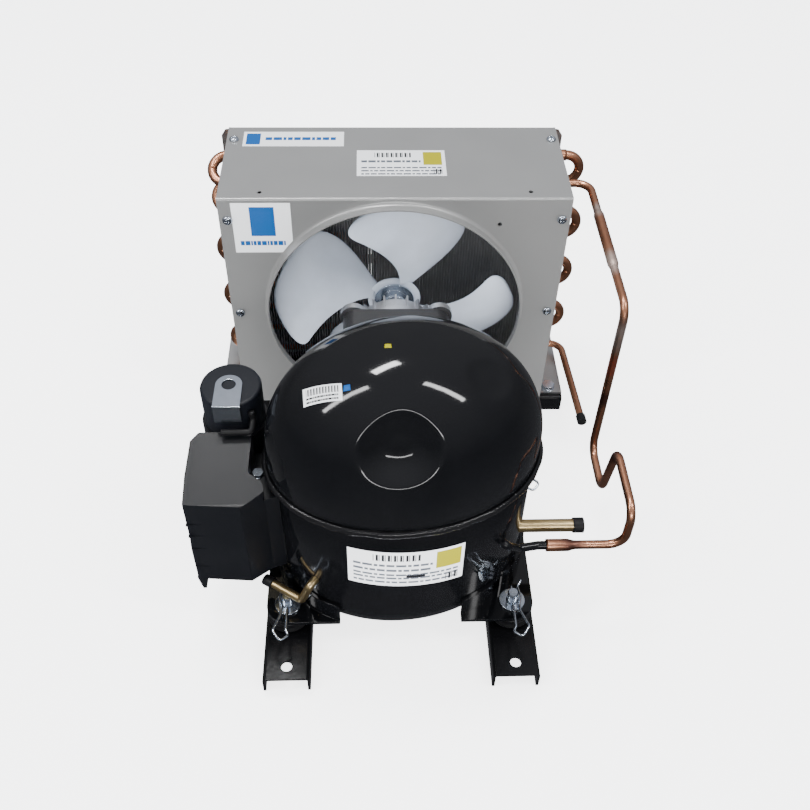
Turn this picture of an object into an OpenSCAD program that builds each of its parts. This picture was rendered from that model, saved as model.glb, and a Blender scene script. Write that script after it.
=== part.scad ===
// Air cooled condensing unit: a sealed compressor on two rails, with a finned
// coil, a fan in a drawn shroud, its electrical cover and its copper lines.
// Sketch frame: x = 0 on the fan axis, y = 0 on the front of the shroud, z = 0 under the rails.
// place() moves that frame so that the origin lies under the middle of the whole unit.

/* [Base] */
// Distance between the middles of the two rails
rail_pitch = 165.1; // [160:0.1:172]
// Width of a rail
rail_w = 34; // [30:1:40]
// Height of the rails and of the crossmember
rail_h = 16; // [14:0.5:20]
// Length of a rail in front of the crossmember
rail_l = 275; // [270:1:290]
// Thickness of the base sheet
base_t = 2; // [1.5:0.1:3]
// Diameter of the fixing hole at the front of a rail
rail_hole_d = 8; // [6:0.1:10]
// Distance of that hole from the front end
rail_hole_inset = 10.3; // [8:0.1:16]
// Length of the crossmember across the unit
cross_l = 310; // [300:1:330]
// Depth of the crossmember from front to back
cross_d = 98; // [94:1:110]

/* [Compressor feet] */
// Distance between the front and rear studs
stud_pitch_y = 101.6; // [96:0.1:108]
// Distance of the rear studs from the shroud's front
stud_rear = 121.9; // [121:0.1:126]
// Diameter of a stud
stud_d = 8; // [6:0.1:9]
// Height of a stud above the rail
stud_h = 28; // [26:0.5:34]
// Outer diameter of a rubber grommet
grommet_d = 31.5; // [28:0.5:34]
// Height of a grommet under the foot plate
grommet_h = 13; // [11:0.5:16]
// Thickness of the foot plates
foot_t = 3; // [2:0.1:4]
// Outer diameter of a stud washer
washer_d = 19; // [17:0.5:22]
// Wire thickness of a spring clip
clip_wire_d = 2; // [1.6:0.1:2.4]

/* [Compressor shell] */
// Length of the upper shell across the unit
shell_w = 188; // [180:1:194]
// Depth of the upper shell from front to back
shell_d = 142; // [134:1:146]
// Turn of the shell about its upright axis
shell_turn = 7.5; // [5:0.5:10]
// Thickness of the shell plate
shell_t = 3; // [2.4:0.1:3.6]
// Height of the weld seam
seam_z = 146; // [140:1:150]
// Height of the top of the dome
dome_z = 245; // [235:1:255]
// Height of the underside of the shell
shell_z = 20; // [18:0.5:24]

/* [Copper lines] */
// Outer diameter of the thin copper lines
line_d = 6.35; // [5.5:0.05:7]
// Wall thickness of all the copper tubes
tube_wall = 0.7; // [0.5:0.05:1]
// Outer diameter of the suction stub
suction_d = 9.53; // [8.5:0.01:11]
// Outer diameter of the swelled piece in the discharge line
coupling_d = 8.2; // [8:0.1:9.5]
// Distance of the upright line from the fan axis
line_x = 160; // [158:0.5:166]
// Bend radius of the discharge line
line_bend_r = 12; // [10:0.5:14]

/* [Condenser coil] */
// Outer diameter of the coil tubes
coil_tube_d = 7.94; // [7:0.01:8.5]
// Height step between the tubes of one row
tube_pitch = 25.4; // [25:0.1:26]
// Distance between the two rows
row_pitch = 22; // [20:0.5:24]
// Number of tube positions in a row
tubes_per_row = 8; // [7:1:8]
// Distance of the coil behind the shroud's front
coil_y = 50; // [46:1:54]
// Number of modelled fins
fin_count = 44; // [20:1:60]
// Thickness of a modelled fin
fin_t = 0.6; // [0.4:0.1:1]
// Thickness of the end plates
end_plate_t = 1.2; // [1:0.1:2]

/* [Fan shroud] */
// Width of the shroud
shroud_w = 268; // [264:1:280]
// Height of the shroud's front panel
shroud_h = 216; // [214:1:224]
// Depth of the shroud's top panel
shroud_d = 102; // [98:1:110]
// Thickness of the shroud sheet
shroud_t = 1; // [0.8:0.1:1.5]
// Diameter of the air opening
opening_d = 206; // [203:1:207]
// Height of the opening's middle above the base
opening_rise = 107.5; // [107:0.1:108]
// Length of the drawn lip in front of the panel
lip_l = 8.6; // [6:0.1:12]
// Radius of the flare between panel and lip
flare_r = 4; // [3:0.1:4.4]

/* [Fan and motor] */
// Diameter of the fan
fan_d = 200; // [190:1:201]
// Number of blades
blade_count = 4; // [3:1:5]
// Thickness of a blade
blade_t = 1.5; // [1:0.1:2]
// Diameter of the motor shaft
shaft_d = 8; // [6:0.5:10]
// Side of the square motor body
motor_w = 82; // [76:1:86]
// Length of the motor's iron body
motor_l = 28; // [24:1:30]
// Length of the motor's front cover
front_cover_l = 25; // [22:1:27]
// Length of the motor's rear cover
rear_cover_l = 17; // [15:1:19]
// Distance of the iron body's front from the shroud's front
motor_gap = 47; // [46:1:50]
// Thickness of the motor bracket
bracket_t = 2; // [1.5:0.1:3]

/* [Electrical parts] */
// Width of the electrical cover
cover_w = 39.5; // [36:0.5:44]
// Wall thickness of the cover
cover_t = 2; // [1.5:0.1:2.5]
// Height of the cover's underside
cover_z = 54; // [50:1:58]
// Height of the cover's top at its front edge
cover_front_z = 140.5; // [138:0.5:144]
// Height of the cover's top at its rear edge
cover_rear_z = 157; // [152:0.5:160]
// Diameter of the start capacitor
capacitor_d = 42; // [38:0.5:44]
// Length of the start capacitor
capacitor_l = 85; // [75:1:90]

/* [Pump inside the shell] */
// Outer diameter of the pump motor's stator
pump_stator_d = 104; // [98:1:108]
// Height of the pump motor's stator
pump_stator_h = 40; // [34:1:44]
// Diameter of the crankshaft
crank_d = 16; // [14:0.5:18]
// Throw of the crank pin
crank_throw = 7; // [5:0.5:8]
// Bore of the cylinder
cylinder_d = 27; // [24:0.5:30]

/* [Hidden] */
$fn = 64;
// Overrun of every cut, and the clearances that the pieces share
over = 1;
slip = 0.02;
running = 0.05;
loose = 0.3;

// Sizes of small features, named once
rail_corner_r = 3;
side_hole_d = [10, 4];
side_hole = [[91.4, -180.6], [95.6, -196.2]];
stud_head_d = 14;
stud_head_t = 3;
grommet_neck_d = 15;
grommet_waist = 3;
lobe_r = 15.5;
foot_inner_x = 44;
foot_flange_h = 17;
foot_flange_t = 3;
washer_t = 1.5;
clip_hole_drop = 7;
clip_loop_r = 4;
clip_leg = 20;
skirt_h = 16;
overlap_h = 8;
floor_r = 25;
dome_power = 2.1;
bead_h = 11;
bead_w = 3;
bead_gap = 0.09;
bend_reach = 12.7;
socket_wall = 0.65;
first_tube_rise = 11.4;
socket_reach = 8;
plate_reach = 2;
screw_head_d = 7;
screw_head_h = 2.2;
screw_d = 3.6;
bolt_d = 6;
bolt_head_d = 12;
bolt_head_h = 4;

// Places that the pieces share
rail_x = rail_pitch / 2;
stud_y = [-stud_rear - stud_pitch_y, -stud_rear];
foot_z = rail_h + grommet_h;
washer_z = foot_z + foot_t + loose;
stud_top = rail_h + stud_h;
shell_pos = [2, (stud_y[0] + stud_y[1]) / 2, 0];
shell_a = shell_w / 2;
shell_b = shell_d / 2;
low_a = shell_a - shell_t;
low_b = shell_b - shell_t;
fan_z = rail_h + opening_rise;
shroud_top = rail_h + shroud_h;
plate_x = shroud_w / 2;
motor_face = -motor_gap;
motor_back = motor_face - motor_l;
bracket_face = motor_back - rear_cover_l;
first_tube = rail_h + first_tube_rise;
row_y = [coil_y + row_pitch / 2, coil_y + 3 * row_pitch / 2];
fin_z = first_tube - tube_pitch / 4;
fin_h = tube_pitch * tubes_per_row;
top_tube = first_tube + tube_pitch * (tubes_per_row - 1);
socket_x = plate_x + socket_reach;
origin_x = (line_x + line_d / 2 - plate_x - bend_reach - coil_tube_d / 2) / 2;
origin_y = (-rail_l + shroud_d + plate_reach) / 2;

// Shared helpers

module place() { translate([-origin_x, -origin_y, 0]) children(); }

// Moves into the compressor's own frame, with its long axis along x
module shell_frame() { translate(shell_pos) rotate([0, 0, shell_turn]) children(); }
function in_shell(p) = shell_pos + [p[0] * cos(shell_turn) - p[1] * sin(shell_turn),
  p[0] * sin(shell_turn) + p[1] * cos(shell_turn), p[2]];

// A sheet drawn from the front, as x and z, that lies between y and y + t
module upright(y, t) { translate([0, y + t, 0]) rotate([90, 0, 0]) linear_extrude(t) children(); }

// A profile drawn from the side, as y and z, that runs from x to x + l
module side_view(x, l) { translate([x, 0, 0]) rotate([90, 0, 90]) linear_extrude(l) children(); }

// A cylinder along y that starts at a point
module rod_y(p, d, l) { translate(p) rotate([-90, 0, 0]) cylinder(d = d, h = l); }

function unit(v) = v / norm(v);

// Cylinder from one point to another
module rod(a, b, d) {
  v = b - a;
  translate(a) rotate([0, acos(v[2] / norm(v)), atan2(v[1], v[0])]) cylinder(d = d, h = norm(v));
}

// Places and directions along a route whose corners are rounded with radius r
function route(points, r, bend_steps = 5) = let (n = len(points),
  dirs = [for (i = [0:n - 2]) unit(points[i + 1] - points[i])])
  concat([[points[0], dirs[0]]], [for (i = [1:1:n - 2]) let (u = dirs[i - 1], v = dirs[i], turn = acos(u * v),
    side = unit(v - (u * v) * u), start = points[i] - u * (r * tan(turn / 2)), c = start + side * r)
    each [for (k = [0:bend_steps]) let (a = turn * k / bend_steps)
      [c + r * (u * sin(a) - side * cos(a)), u * cos(a) + side * sin(a)]]],
  [[points[n - 1], dirs[n - 2]]]);

// Side directions carried along the route without twist
function first_side(u) = unit(cross(u, abs(u[2]) < 0.9 ? [0, 0, 1] : [1, 0, 0]));
function carried(path) = [for (i = 0, n = first_side(path[0][1]); i < len(path); i = i + 1,
  n = i < len(path) ? unit(n - (n * path[i][1]) * path[i][1]) : n) n];
function hoops(path, d, sides) = let (side = carried(path)) [for (i = [0:len(path) - 1])
  let (n = side[i], w = cross(path[i][1], n)) [for (j = [0:sides - 1])
    path[i][0] + d / 2 * (n * cos(360 * j / sides) + w * sin(360 * j / sides))]];
// Skin between hoops of k points that start at point s, seen from outside, or from inside if flipped
function skin(s, m, k, flip) = [for (i = [0:m - 2], j = [0:k - 1]) let (a = s + i * k + j, b = s + i * k + (j + 1) % k)
  each (flip ? [[a, b, b + k], [a, b + k, a + k]] : [[a, b + k, b], [a, a + k, b + k]])];

// Round wire along a route
module wire(points, r, d, sides = 10, bend_steps = 5) {
  path = route(points, r, bend_steps);
  m = len(path);
  caps = [for (j = [1:sides - 2]) each [[0, j, j + 1], [(m - 1) * sides, (m - 1) * sides + j + 1, (m - 1) * sides + j]]];
  polyhedron([for (hoop = hoops(path, d, sides)) each hoop], concat(skin(0, m, sides, false), caps));
}

// Copper tube along a route, open at both ends
module tube(points, r, d, sides = 12) {
  path = route(points, r);
  m = len(path);
  k = m * sides;
  ends = [for (j = [0:sides - 1]) let (i = (j + 1) % sides, e = (m - 1) * sides)
    each [[j, i, k + i], [j, k + i, k + j], [e + j, k + e + i, e + i], [e + j, k + e + j, k + e + i]]];
  polyhedron(concat([for (hoop = hoops(path, d, sides)) each hoop],
    [for (hoop = hoops(path, d - 2 * tube_wall, sides)) each hoop]),
    concat(skin(0, m, sides, false), skin(k, m, sides, true), ends));
}

// Ring about the z axis
module ring(d_out, d_in, h) {
  difference() {
    cylinder(d = d_out, h = h);
    translate([0, 0, -over]) cylinder(d = d_in, h = h + 2 * over);
  }
}

// Points of an outline whose corners are rounded, s steps to a corner
function corner(a, b, c, r, s) = let (u = unit(a - b), v = unit(c - b), half = acos(u * v) / 2,
  m = b + unit(u + v) * (r / sin(half)), e = b + u * (r / tan(half)) - m,
  f = b + v * (r / tan(half)) - m, start = atan2(e[1], e[0]),
  turn = atan2(e[0] * f[1] - e[1] * f[0], e * f))
  [for (i = [0:s]) m + r * [cos(start + turn * i / s), sin(start + turn * i / s)]];
function rounded(p, r, s = 4) = let (n = len(p))
  [for (i = [0:n - 1]) each corner(p[(i + n - 1) % n], p[i], p[(i + 1) % n], r, s)];

// Square with true round corners, in its middle
module round_square(w, h, r) {
  square([w - 2 * r, h], center = true);
  square([w, h - 2 * r], center = true);
  for (x = [-1, 1], y = [-1, 1]) translate([x * (w / 2 - r), y * (h / 2 - r)]) circle(r = r);
}

// Section of a folded channel, open below
module channel(w, h, t, r) {
  difference() {
    translate([0, h / 2]) round_square(w, h, r);
    translate([0, (h - t) / 2]) round_square(w - 2 * t, h - t, r - t);
    translate([-w / 2 + t, -over]) square([w - 2 * t, r + over]);
    translate([-w / 2 - over, -over]) square([t + over, over]);
  }
  for (x = [-w / 2, w / 2 - t]) translate([x, 0]) square([t, r]);
}

// Base frame

module base_rail(side) {
  difference() {
    translate([side * rail_x, 0, 0]) rotate([90, 0, 0])
      linear_extrude(rail_l) channel(rail_w, rail_h, base_t, rail_corner_r);
    translate([side * rail_x, -rail_l + rail_hole_inset, 0]) cylinder(d = rail_hole_d, h = rail_h + over);
    for (y = stud_y) translate([side * rail_x, y, 0]) cylinder(d = stud_d + loose, h = rail_h + over);
    translate([side * rail_x, bracket_bolt_y, 0]) cylinder(d = bolt_d + loose, h = rail_h + over);
    if (side > 0) for (i = [0:1])
      translate([side_hole[i][0], side_hole[i][1], 0]) cylinder(d = side_hole_d[i], h = rail_h + over);
  }
}
module base_rail_left() { color("dimgray") place() base_rail(-1); }
module base_rail_right() { color("dimgray") place() base_rail(1); }

module rear_crossmember() {
  color("dimgray") place() difference() {
    translate([-cross_l / 2, cross_d / 2, 0]) rotate([90, 0, 90])
      linear_extrude(cross_l) channel(cross_d, rail_h, base_t, rail_corner_r);
    for (x = [-1, 1], y = foot_bolt_y)
      translate([x * foot_bolt_x, y, 0]) cylinder(d = bolt_d + loose, h = rail_h + over);
  }
}

// Compressor mounting

module at_studs() { for (x = [-1, 1], y = stud_y) translate([x * rail_x, y, 0]) children(); }

module mounting_studs() {
  color("gray") place() for (x = [-1, 1], y = [0, 1]) translate([x * rail_x, stud_y[y], 0]) difference() {
    union() {
      translate([0, 0, rail_h - base_t - stud_head_t]) cylinder(d = stud_head_d, h = stud_head_t);
      translate([0, 0, rail_h - base_t]) cylinder(d = stud_d, h = base_t + stud_h - stud_tip_h);
      translate([0, 0, stud_top - stud_tip_h]) cylinder(d1 = stud_d, d2 = stud_d - stud_tip_h, h = stud_tip_h);
    }
    translate([0, 0, stud_top - clip_hole_drop]) rotate([90, 0, 90 * y])
      cylinder(d = clip_wire_d + running, h = 2 * stud_d, center = true);
  }
}
stud_tip_h = 1.5;

// Soft mount: a waisted cup with a neck through the foot plate
module rubber_grommets() {
  r = grommet_d / 2;
  bore_r = stud_d / 2 + loose;
  color("black") place() at_studs() rotate_extrude() polygon([[bore_r, rail_h], [r - grommet_waist, rail_h],
    [r, rail_h + grommet_waist], [r - grommet_waist / 2, rail_h + grommet_h / 2], [r, foot_z - grommet_waist / 2],
    [r - grommet_waist / 2, foot_z], [grommet_neck_d / 2, foot_z], [grommet_neck_d / 2, washer_z],
    [bore_r, washer_z]]);
}

module stud_washers() {
  color("silver") place() at_studs() translate([0, 0, washer_z]) ring(washer_d, stud_d + 2 * loose, washer_t);
}

// Hairpin clip: a straight leg through the stud, a round eye and a leg that hugs the stud. The front
// ones point forward, and the rear ones outward.
clip_bend_r = 2.5;
clip_tilt = 20;
module hairpin_clips() {
  w = stud_d / 2 + clip_wire_d / 2 + running;
  e = -clip_leg - clip_loop_r;
  route = [[0, stud_d * 1.2, 0], [0, e, 0], [-clip_loop_r / 2, e - clip_loop_r, 0],
    [clip_loop_r, e - 2.4 * clip_loop_r, 0], [2.4 * clip_loop_r, e - clip_loop_r / 2, 0],
    [clip_loop_r / 2 + w / 2, -clip_leg / 1.6, 0], [w * 0.9, -stud_d, 0], [w + clip_wire_d / 2, 0, 0],
    [w * 0.9, stud_d, 0], [w * 1.6, stud_d * 1.6, 0]];
  color("silver") place() for (x = [-1, 1], y = [0, 1])
    translate([x * rail_x, stud_y[y], stud_top - clip_hole_drop]) rotate(90 * x * y) rotate([0, -x * clip_tilt, 0])
      wire([for (p = route) [x * p[0], p[1], p[2]]], clip_bend_r, clip_wire_d, 6, 3);
}

// Compressor shell

// Ellipse that follows the lower shell at a distance
module shell_outline(gap) { scale([low_a + gap, low_b + gap]) circle(r = 1, $fn = 96); }

// Deep drawn cup, flat below with a round edge
module cup(a, b, r, z0, z1) {
  translate([0, 0, z0]) scale([1, b / a, 1]) rotate_extrude($fn = 110) intersection() {
    union() {
      square([a - r, z1 - z0]);
      translate([0, r]) square([a, z1 - z0 - r]);
      translate([a - r, r]) circle(r = r);
    }
    square([a, z1 - z0]);
  }
}

module compressor_lower_shell() {
  color("black") place() difference() {
    shell_frame() cup(low_a, low_b, floor_r, shell_z, seam_z + overlap_h);
    shell_frame() cup(low_a - shell_t, low_b - shell_t, floor_r - shell_t, shell_z + shell_t,
      seam_z + overlap_h + over);
    rod(suction_root, suction_root + [4 * shell_t, 0, 0], suction_d + 2 * slip);
    shell_frame() rod([-low_a + 2 * shell_t, 0, terminal_z], [-low_a - 2 * shell_t, 0, terminal_z],
      terminal_d + 2 * slip);
  }
}

// One ring of the dome at elevation e, with the pressed dimples drawn in
dome_angles = concat([for (t = [-140:3:-62]) t], [for (t = [-56:6:214]) t]);
function bump(t, e, spot) = let (dt = (abs(t - spot[0]) > 180 ? 360 - abs(t - spot[0]) : t - spot[0]) / spot[1],
  de = (e - spot[2]) / spot[3], q = dt * dt + de * de) q >= 1 ? 0 : pow(1 - q, 2) * (3 - 2 * (1 - q));
// Each dimple: direction, half width, elevation, half height in degrees, and its depth
scoop = [-99.5, 21, 36, 20, 15];
wedge = [-30, 20, 54, 12, 4];
function dome_ring(a, b, z0, z1, e) = let (c = pow(cos(e), 2 / dome_power), s = pow(sin(e), 2 / dome_power))
  [for (t = dome_angles) let (d = scoop[4] * bump(t, e, scoop) + wedge[4] * bump(t, e, wedge), k = 1 - d * cos(e) / a)
    [a * c * k * cos(t), b * c * (1 - d * cos(e) / b) * sin(t), z0 + (z1 - z0) * s - d * sin(e) / 2]];
function flat_ring(a, b, z) = [for (t = dome_angles) [a * cos(t), b * sin(t), z]];

// Solid through a stack of rings, closed by a point at each end
module ring_solid(rings, first, last) {
  n = len(rings[0]);
  m = len(rings);
  points = concat([for (ring = rings) each ring], [first, last]);
  sides = [for (i = [0:m - 2], j = [0:n - 1]) let (a = i * n + j, b = i * n + (j + 1) % n)
    each [[a, b + n, b], [a, a + n, b + n]]];
  caps = [for (j = [0:n - 1]) let (k = (j + 1) % n)
    each [[m * n, j, k], [m * n + 1, (m - 1) * n + k, (m - 1) * n + j]]];
  polyhedron(points, concat(sides, caps));
}

module compressor_upper_shell() {
  ai = low_a + loose;
  bi = low_b + loose;
  wall_z = seam_z + skirt_h;
  inner_z = dome_z - shell_t;
  steps_in = [for (e = [80:-8:8]) e];
  steps_out = [for (e = [4:5:84]) e];
  color("black") place() shell_frame() ring_solid(
    concat([for (e = steps_in) dome_ring(ai, bi, wall_z, inner_z, e)],
      [flat_ring(ai, bi, wall_z), flat_ring(ai, bi, seam_z), flat_ring(shell_a, shell_b, seam_z),
        flat_ring(shell_a, shell_b, wall_z)],
      [for (e = steps_out) dome_ring(shell_a, shell_b, wall_z, dome_z, e)]),
    [0, 0, inner_z], [0, 0, dome_z]);
}

// Weld bead round the edge of the upper shell, with an uneven face
module shell_weld_bead() {
  n = 90;
  section = [[bead_gap, -bead_h / 2 - over / 2], [bead_w * 0.7, -bead_h / 2],
    [shell_t + bead_w * 0.6, -bead_h / 4], [shell_t + bead_w, over / 2], [shell_t + bead_w * 0.8, bead_h / 5],
    [shell_t + bead_gap, bead_h / 3], [shell_t + bead_gap, -slip], [bead_gap, -slip]];
  wave_share = [0, 1, 1, 1, 1, 0, 0, 0];
  m = len(section);
  points = [for (j = [0:n - 1], i = [0:m - 1]) let (t = 360 * j / n,
    w = wave_share[i] * bead_w * 0.16 * (sin(17 * t + 40 * i) + sin(29 * t) * cos(5 * t)))
    [(low_a + section[i][0] + w) * cos(t), (low_b + section[i][0] + w) * sin(t), seam_z + section[i][1]]];
  faces = [for (j = [0:n - 1], i = [0:m - 1]) let (a = j * m + i, b = j * m + (i + 1) % m,
    c = ((j + 1) % n) * m + i, d = ((j + 1) % n) * m + (i + 1) % m) each [[a, b, d], [a, d, c]]];
  color("black") place() shell_frame() polyhedron(points, faces);
}

// Foot bracket: a plate with a lobe at each stud and a flange up the shell
module foot_plan(side) {
  front = shell_pos[1] - stud_y[0] + lobe_r;
  difference() {
    union() {
      translate([side * (rail_x + foot_inner_x) / 2, shell_pos[1]])
        square([rail_x - foot_inner_x, 2 * front], center = true);
      translate([side * (foot_inner_x + rail_x + lobe_r) / 2, shell_pos[1]])
        square([rail_x + lobe_r - foot_inner_x, stud_pitch_y], center = true);
      for (y = stud_y) translate([side * rail_x, y]) circle(r = lobe_r);
    }
    translate([shell_pos[0], shell_pos[1]]) rotate(shell_turn + 90 - 90 * side) shell_outline(loose);
    for (y = stud_y) translate([side * rail_x, y]) circle(d = grommet_neck_d + slip * 2);
  }
}

module foot_bracket(side) {
  translate([0, 0, foot_z]) linear_extrude(foot_t) foot_plan(side);
  translate([0, 0, foot_z + foot_t]) linear_extrude(foot_flange_h) difference() {
    intersection() {
      translate([shell_pos[0], shell_pos[1]]) rotate(shell_turn + 90 - 90 * side) shell_outline(loose + foot_flange_t);
      foot_plan(side);
    }
    for (y = stud_y) translate([side * rail_x, y]) circle(d = grommet_d);
  }
}
module foot_bracket_left() { color("black") place() foot_bracket(-1); }
module foot_bracket_right() { color("black") place() foot_bracket(1); }

// Stubs and lines

suction_root = shell_pos + [82, -14.3, 75];
suction_end = 135;
cap_wall = 0.95;
cap_l = 7;
// Where a tube meets the lower shell, and its outward direction there
function on_shell(t, z) = in_shell([(low_a + slip) * cos(t), (low_b + slip) * sin(t), z]);
function shell_normal(t) = let (n = unit([low_b * cos(t), low_a * sin(t), 0])) in_shell(n) - shell_pos;
discharge_turn = -48.6;
discharge_root = on_shell(discharge_turn, 98);
process_turn = -139.2;
process_root = on_shell(process_turn, 68.5);
stub_out = 7;
stub_front = 35.3;
stub_y = shell_pos[1] - stub_front;
stub_z = 80;
socket_start = 104;
socket_l = 19;
line_top = top_tube;
coupling_y = [-47, 18];

module suction_stub() {
  l = suction_end - cap_wall - suction_root[0];
  color("peru") place() translate(suction_root) rotate([0, 90, 0]) ring(suction_d, suction_d - 2 * tube_wall, l);
}

// Round rubber cap pushed over a tube's end
module end_cap(p, dir, d) {
  difference() {
    rod(p - dir * cap_l, p + dir * cap_wall, d + 2 * cap_wall);
    rod(p - dir * (cap_l + over), p, d + 2 * slip);
  }
}
module suction_cap() {
  color("black") place() end_cap([suction_end - cap_wall, suction_root[1], suction_root[2]], [1, 0, 0], suction_d);
}

process_bend = shell_pos + [-73, -58.3, 50];
process_end = shell_pos + [-100, -39.3, 48];
process_route = [process_root, process_root + stub_out * shell_normal(process_turn), process_bend, process_end];
module process_tube() { color("peru") place() tube(process_route, line_d * 0.6, line_d, 10); }
module process_cap() {
  color("black") place() end_cap(process_route[3], unit(process_route[3] - process_route[2]), line_d);
}

// Discharge: a steel stub that leaves the shell and a copper line that starts with a socket over it
stub_bends_x = [shell_pos[0] + 82, shell_pos[0] + 96];
stub_dip = [3, 1];
discharge_route = [discharge_root, discharge_root + stub_out * shell_normal(discharge_turn),
  [stub_bends_x[0], stub_y - stub_dip[0], stub_z + stub_dip[1]], [stub_bends_x[1], stub_y, stub_z],
  [socket_start + socket_l - line_d, stub_y, stub_z]];
module discharge_stub() { color("black") place() tube(discharge_route, line_d / 2, line_d, 10); }

// Heights of the two level runs, and how far behind the stub the line falls, lands and rises
run_z = [116, 57];
run_y = [57, 69, 112];
line_route = [[socket_start + socket_l, stub_y, stub_z], [line_x, stub_y, stub_z], [line_x, stub_y, run_z[0]],
  [line_x, stub_y + run_y[0], run_z[0]], [line_x, stub_y + run_y[1], run_z[1]],
  [line_x, stub_y + run_y[2], run_z[1]], [line_x, stub_y + run_y[2], line_top],
  [line_x, coupling_y[0] + line_d * 1.5, line_top]];

module discharge_line() {
  color("peru") place() {
    tube(line_route, line_bend_r, line_d);
    difference() {
      rod([socket_start, stub_y, stub_z], [socket_start + socket_l, stub_y, stub_z], line_d + 4 * tube_wall);
      rod([socket_start - over, stub_y, stub_z], [socket_start + socket_l - line_d / 2, stub_y, stub_z],
        line_d + 2 * slip);
      rod([socket_start, stub_y, stub_z], [socket_start + socket_l + over, stub_y, stub_z],
        line_d - 2 * tube_wall);
    }
  }
}

// Swelled piece with a braze fillet at each end
module line_coupling() {
  l = coupling_y[1] - coupling_y[0];
  color("peru") place() difference() {
    union() {
      rod_y([line_x, coupling_y[0], line_top], coupling_d, l);
      for (y = [0, 1]) translate([line_x, coupling_y[y], line_top]) rotate([y * 180 + 90, 0, 0])
        cylinder(d1 = coupling_d, d2 = line_d + 3 * slip, h = braze_l);
    }
    rod_y([line_x, coupling_y[0] - braze_l - over, line_top], line_d + 2 * slip, l + 2 * braze_l + 2 * over);
  }
}
braze_l = 2.5;

module inlet_tube() {
  color("peru") place() {
    tube([[plate_x, row_y[0], line_top], [line_x, row_y[0], line_top],
      [line_x, coupling_y[1] - line_d * 1.5, line_top]], line_bend_r, line_d);
  }
}
outlet_end_y = -46;
outlet_route = [[plate_x, row_y[0], first_tube], [line_x, row_y[0], first_tube],
  [line_x + line_d / 2, outlet_end_y, first_tube + line_d]];
module outlet_tube() { color("peru") place() tube(outlet_route, line_bend_r, line_d); }
module outlet_cap() {
  color("black") place() end_cap(outlet_route[2], unit(outlet_route[2] - outlet_route[1]), line_d);
}

// Condenser coil

function front_row(k) = [row_y[0], first_tube + tube_pitch * k];
function rear_row(k) = [row_y[1], first_tube + tube_pitch * (k + 1 / 2)];
last = tubes_per_row - 1;
// Hairpins, each with its bend on the left, and the return bends on the right
hairpins = concat([[front_row(last), rear_row(last)], [rear_row(last - 1), front_row(last - 1)]],
  [for (k = [last - 2:-2:1]) [front_row(k), front_row(k - 1)]]);
returns = concat([[rear_row(last), rear_row(last - 1)]],
  [for (k = [last - 1:-2:2]) [front_row(k), front_row(k - 1)]]);

module coil_holes(d) {
  for (k = [0:last]) {
    translate(front_row(k)) circle(d = d);
    translate(rear_row(k)) circle(d = d);
  }
}

module fin_pack() {
  span = shroud_w - 2 * end_plate_t - 2 * loose - fin_t;
  color("silver") place() for (i = [0:fin_count - 1])
    side_view(-span / 2 + span * i / (fin_count - 1) - fin_t / 2, fin_t) difference() {
      translate([coil_y, fin_z]) square([2 * row_pitch, fin_h]);
      coil_holes(coil_tube_d + 2 * slip);
    }
}

// Moves two tubes that lie r below and r above the x axis to a pair of places in the coil
module at_pair(pair) {
  v = pair[1] - pair[0];
  mid = (pair[0] + pair[1]) / 2;
  translate([0, mid[0], mid[1]]) rotate([atan2(-v[0], v[1]), 0, 0]) children();
}
function pair_r(pair) = norm(pair[1] - pair[0]) / 2;

// Two straight rods from x0 to x1, joined there by a half turn
module u_rod(r, x0, x1, d) {
  for (z = [-r, r]) translate([min(x0, x1), 0, z]) rotate([0, 90, 0]) cylinder(d = d, h = abs(x1 - x0));
  translate([x1, 0, 0]) rotate([-90, -90, x1 > x0 ? 0 : 180])
    rotate_extrude(angle = 180) translate([r, 0]) circle(d = d);
}

module hairpin_tubes() {
  color("peru") place() for (pair = hairpins) at_pair(pair) difference() {
    r = pair_r(pair);
    union() {
      u_rod(r, socket_x - over, -plate_x, coil_tube_d);
      for (z = [-r, r]) translate([plate_x + over, 0, z]) rotate([0, 90, 0])
        cylinder(d = coil_tube_d + 2 * socket_wall, h = socket_x - plate_x - over);
    }
    u_rod(r, socket_x + over, -plate_x, coil_tube_d - 2 * tube_wall);
    for (i = [0, 1]) translate([plate_x + 2 * over, 0, (2 * i - 1) * r]) rotate([0, 90, 0])
      cylinder(d = coil_end_bore(pair[i]), h = socket_x - plate_x);
  }
}
// The two ends that carry the thin lines are swaged down, the others are sockets
function coil_end_bore(e) = (e == front_row(0) || e == front_row(last) ? line_d : coil_tube_d) + 2 * slip;

module return_bends() {
  color("peru") place() for (pair = returns) at_pair(pair) difference() {
    u_rod(pair_r(pair), plate_x + 3 * over, socket_x, coil_tube_d);
    u_rod(pair_r(pair), plate_x + 2 * over, socket_x, coil_tube_d - 2 * tube_wall);
  }
}

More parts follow.
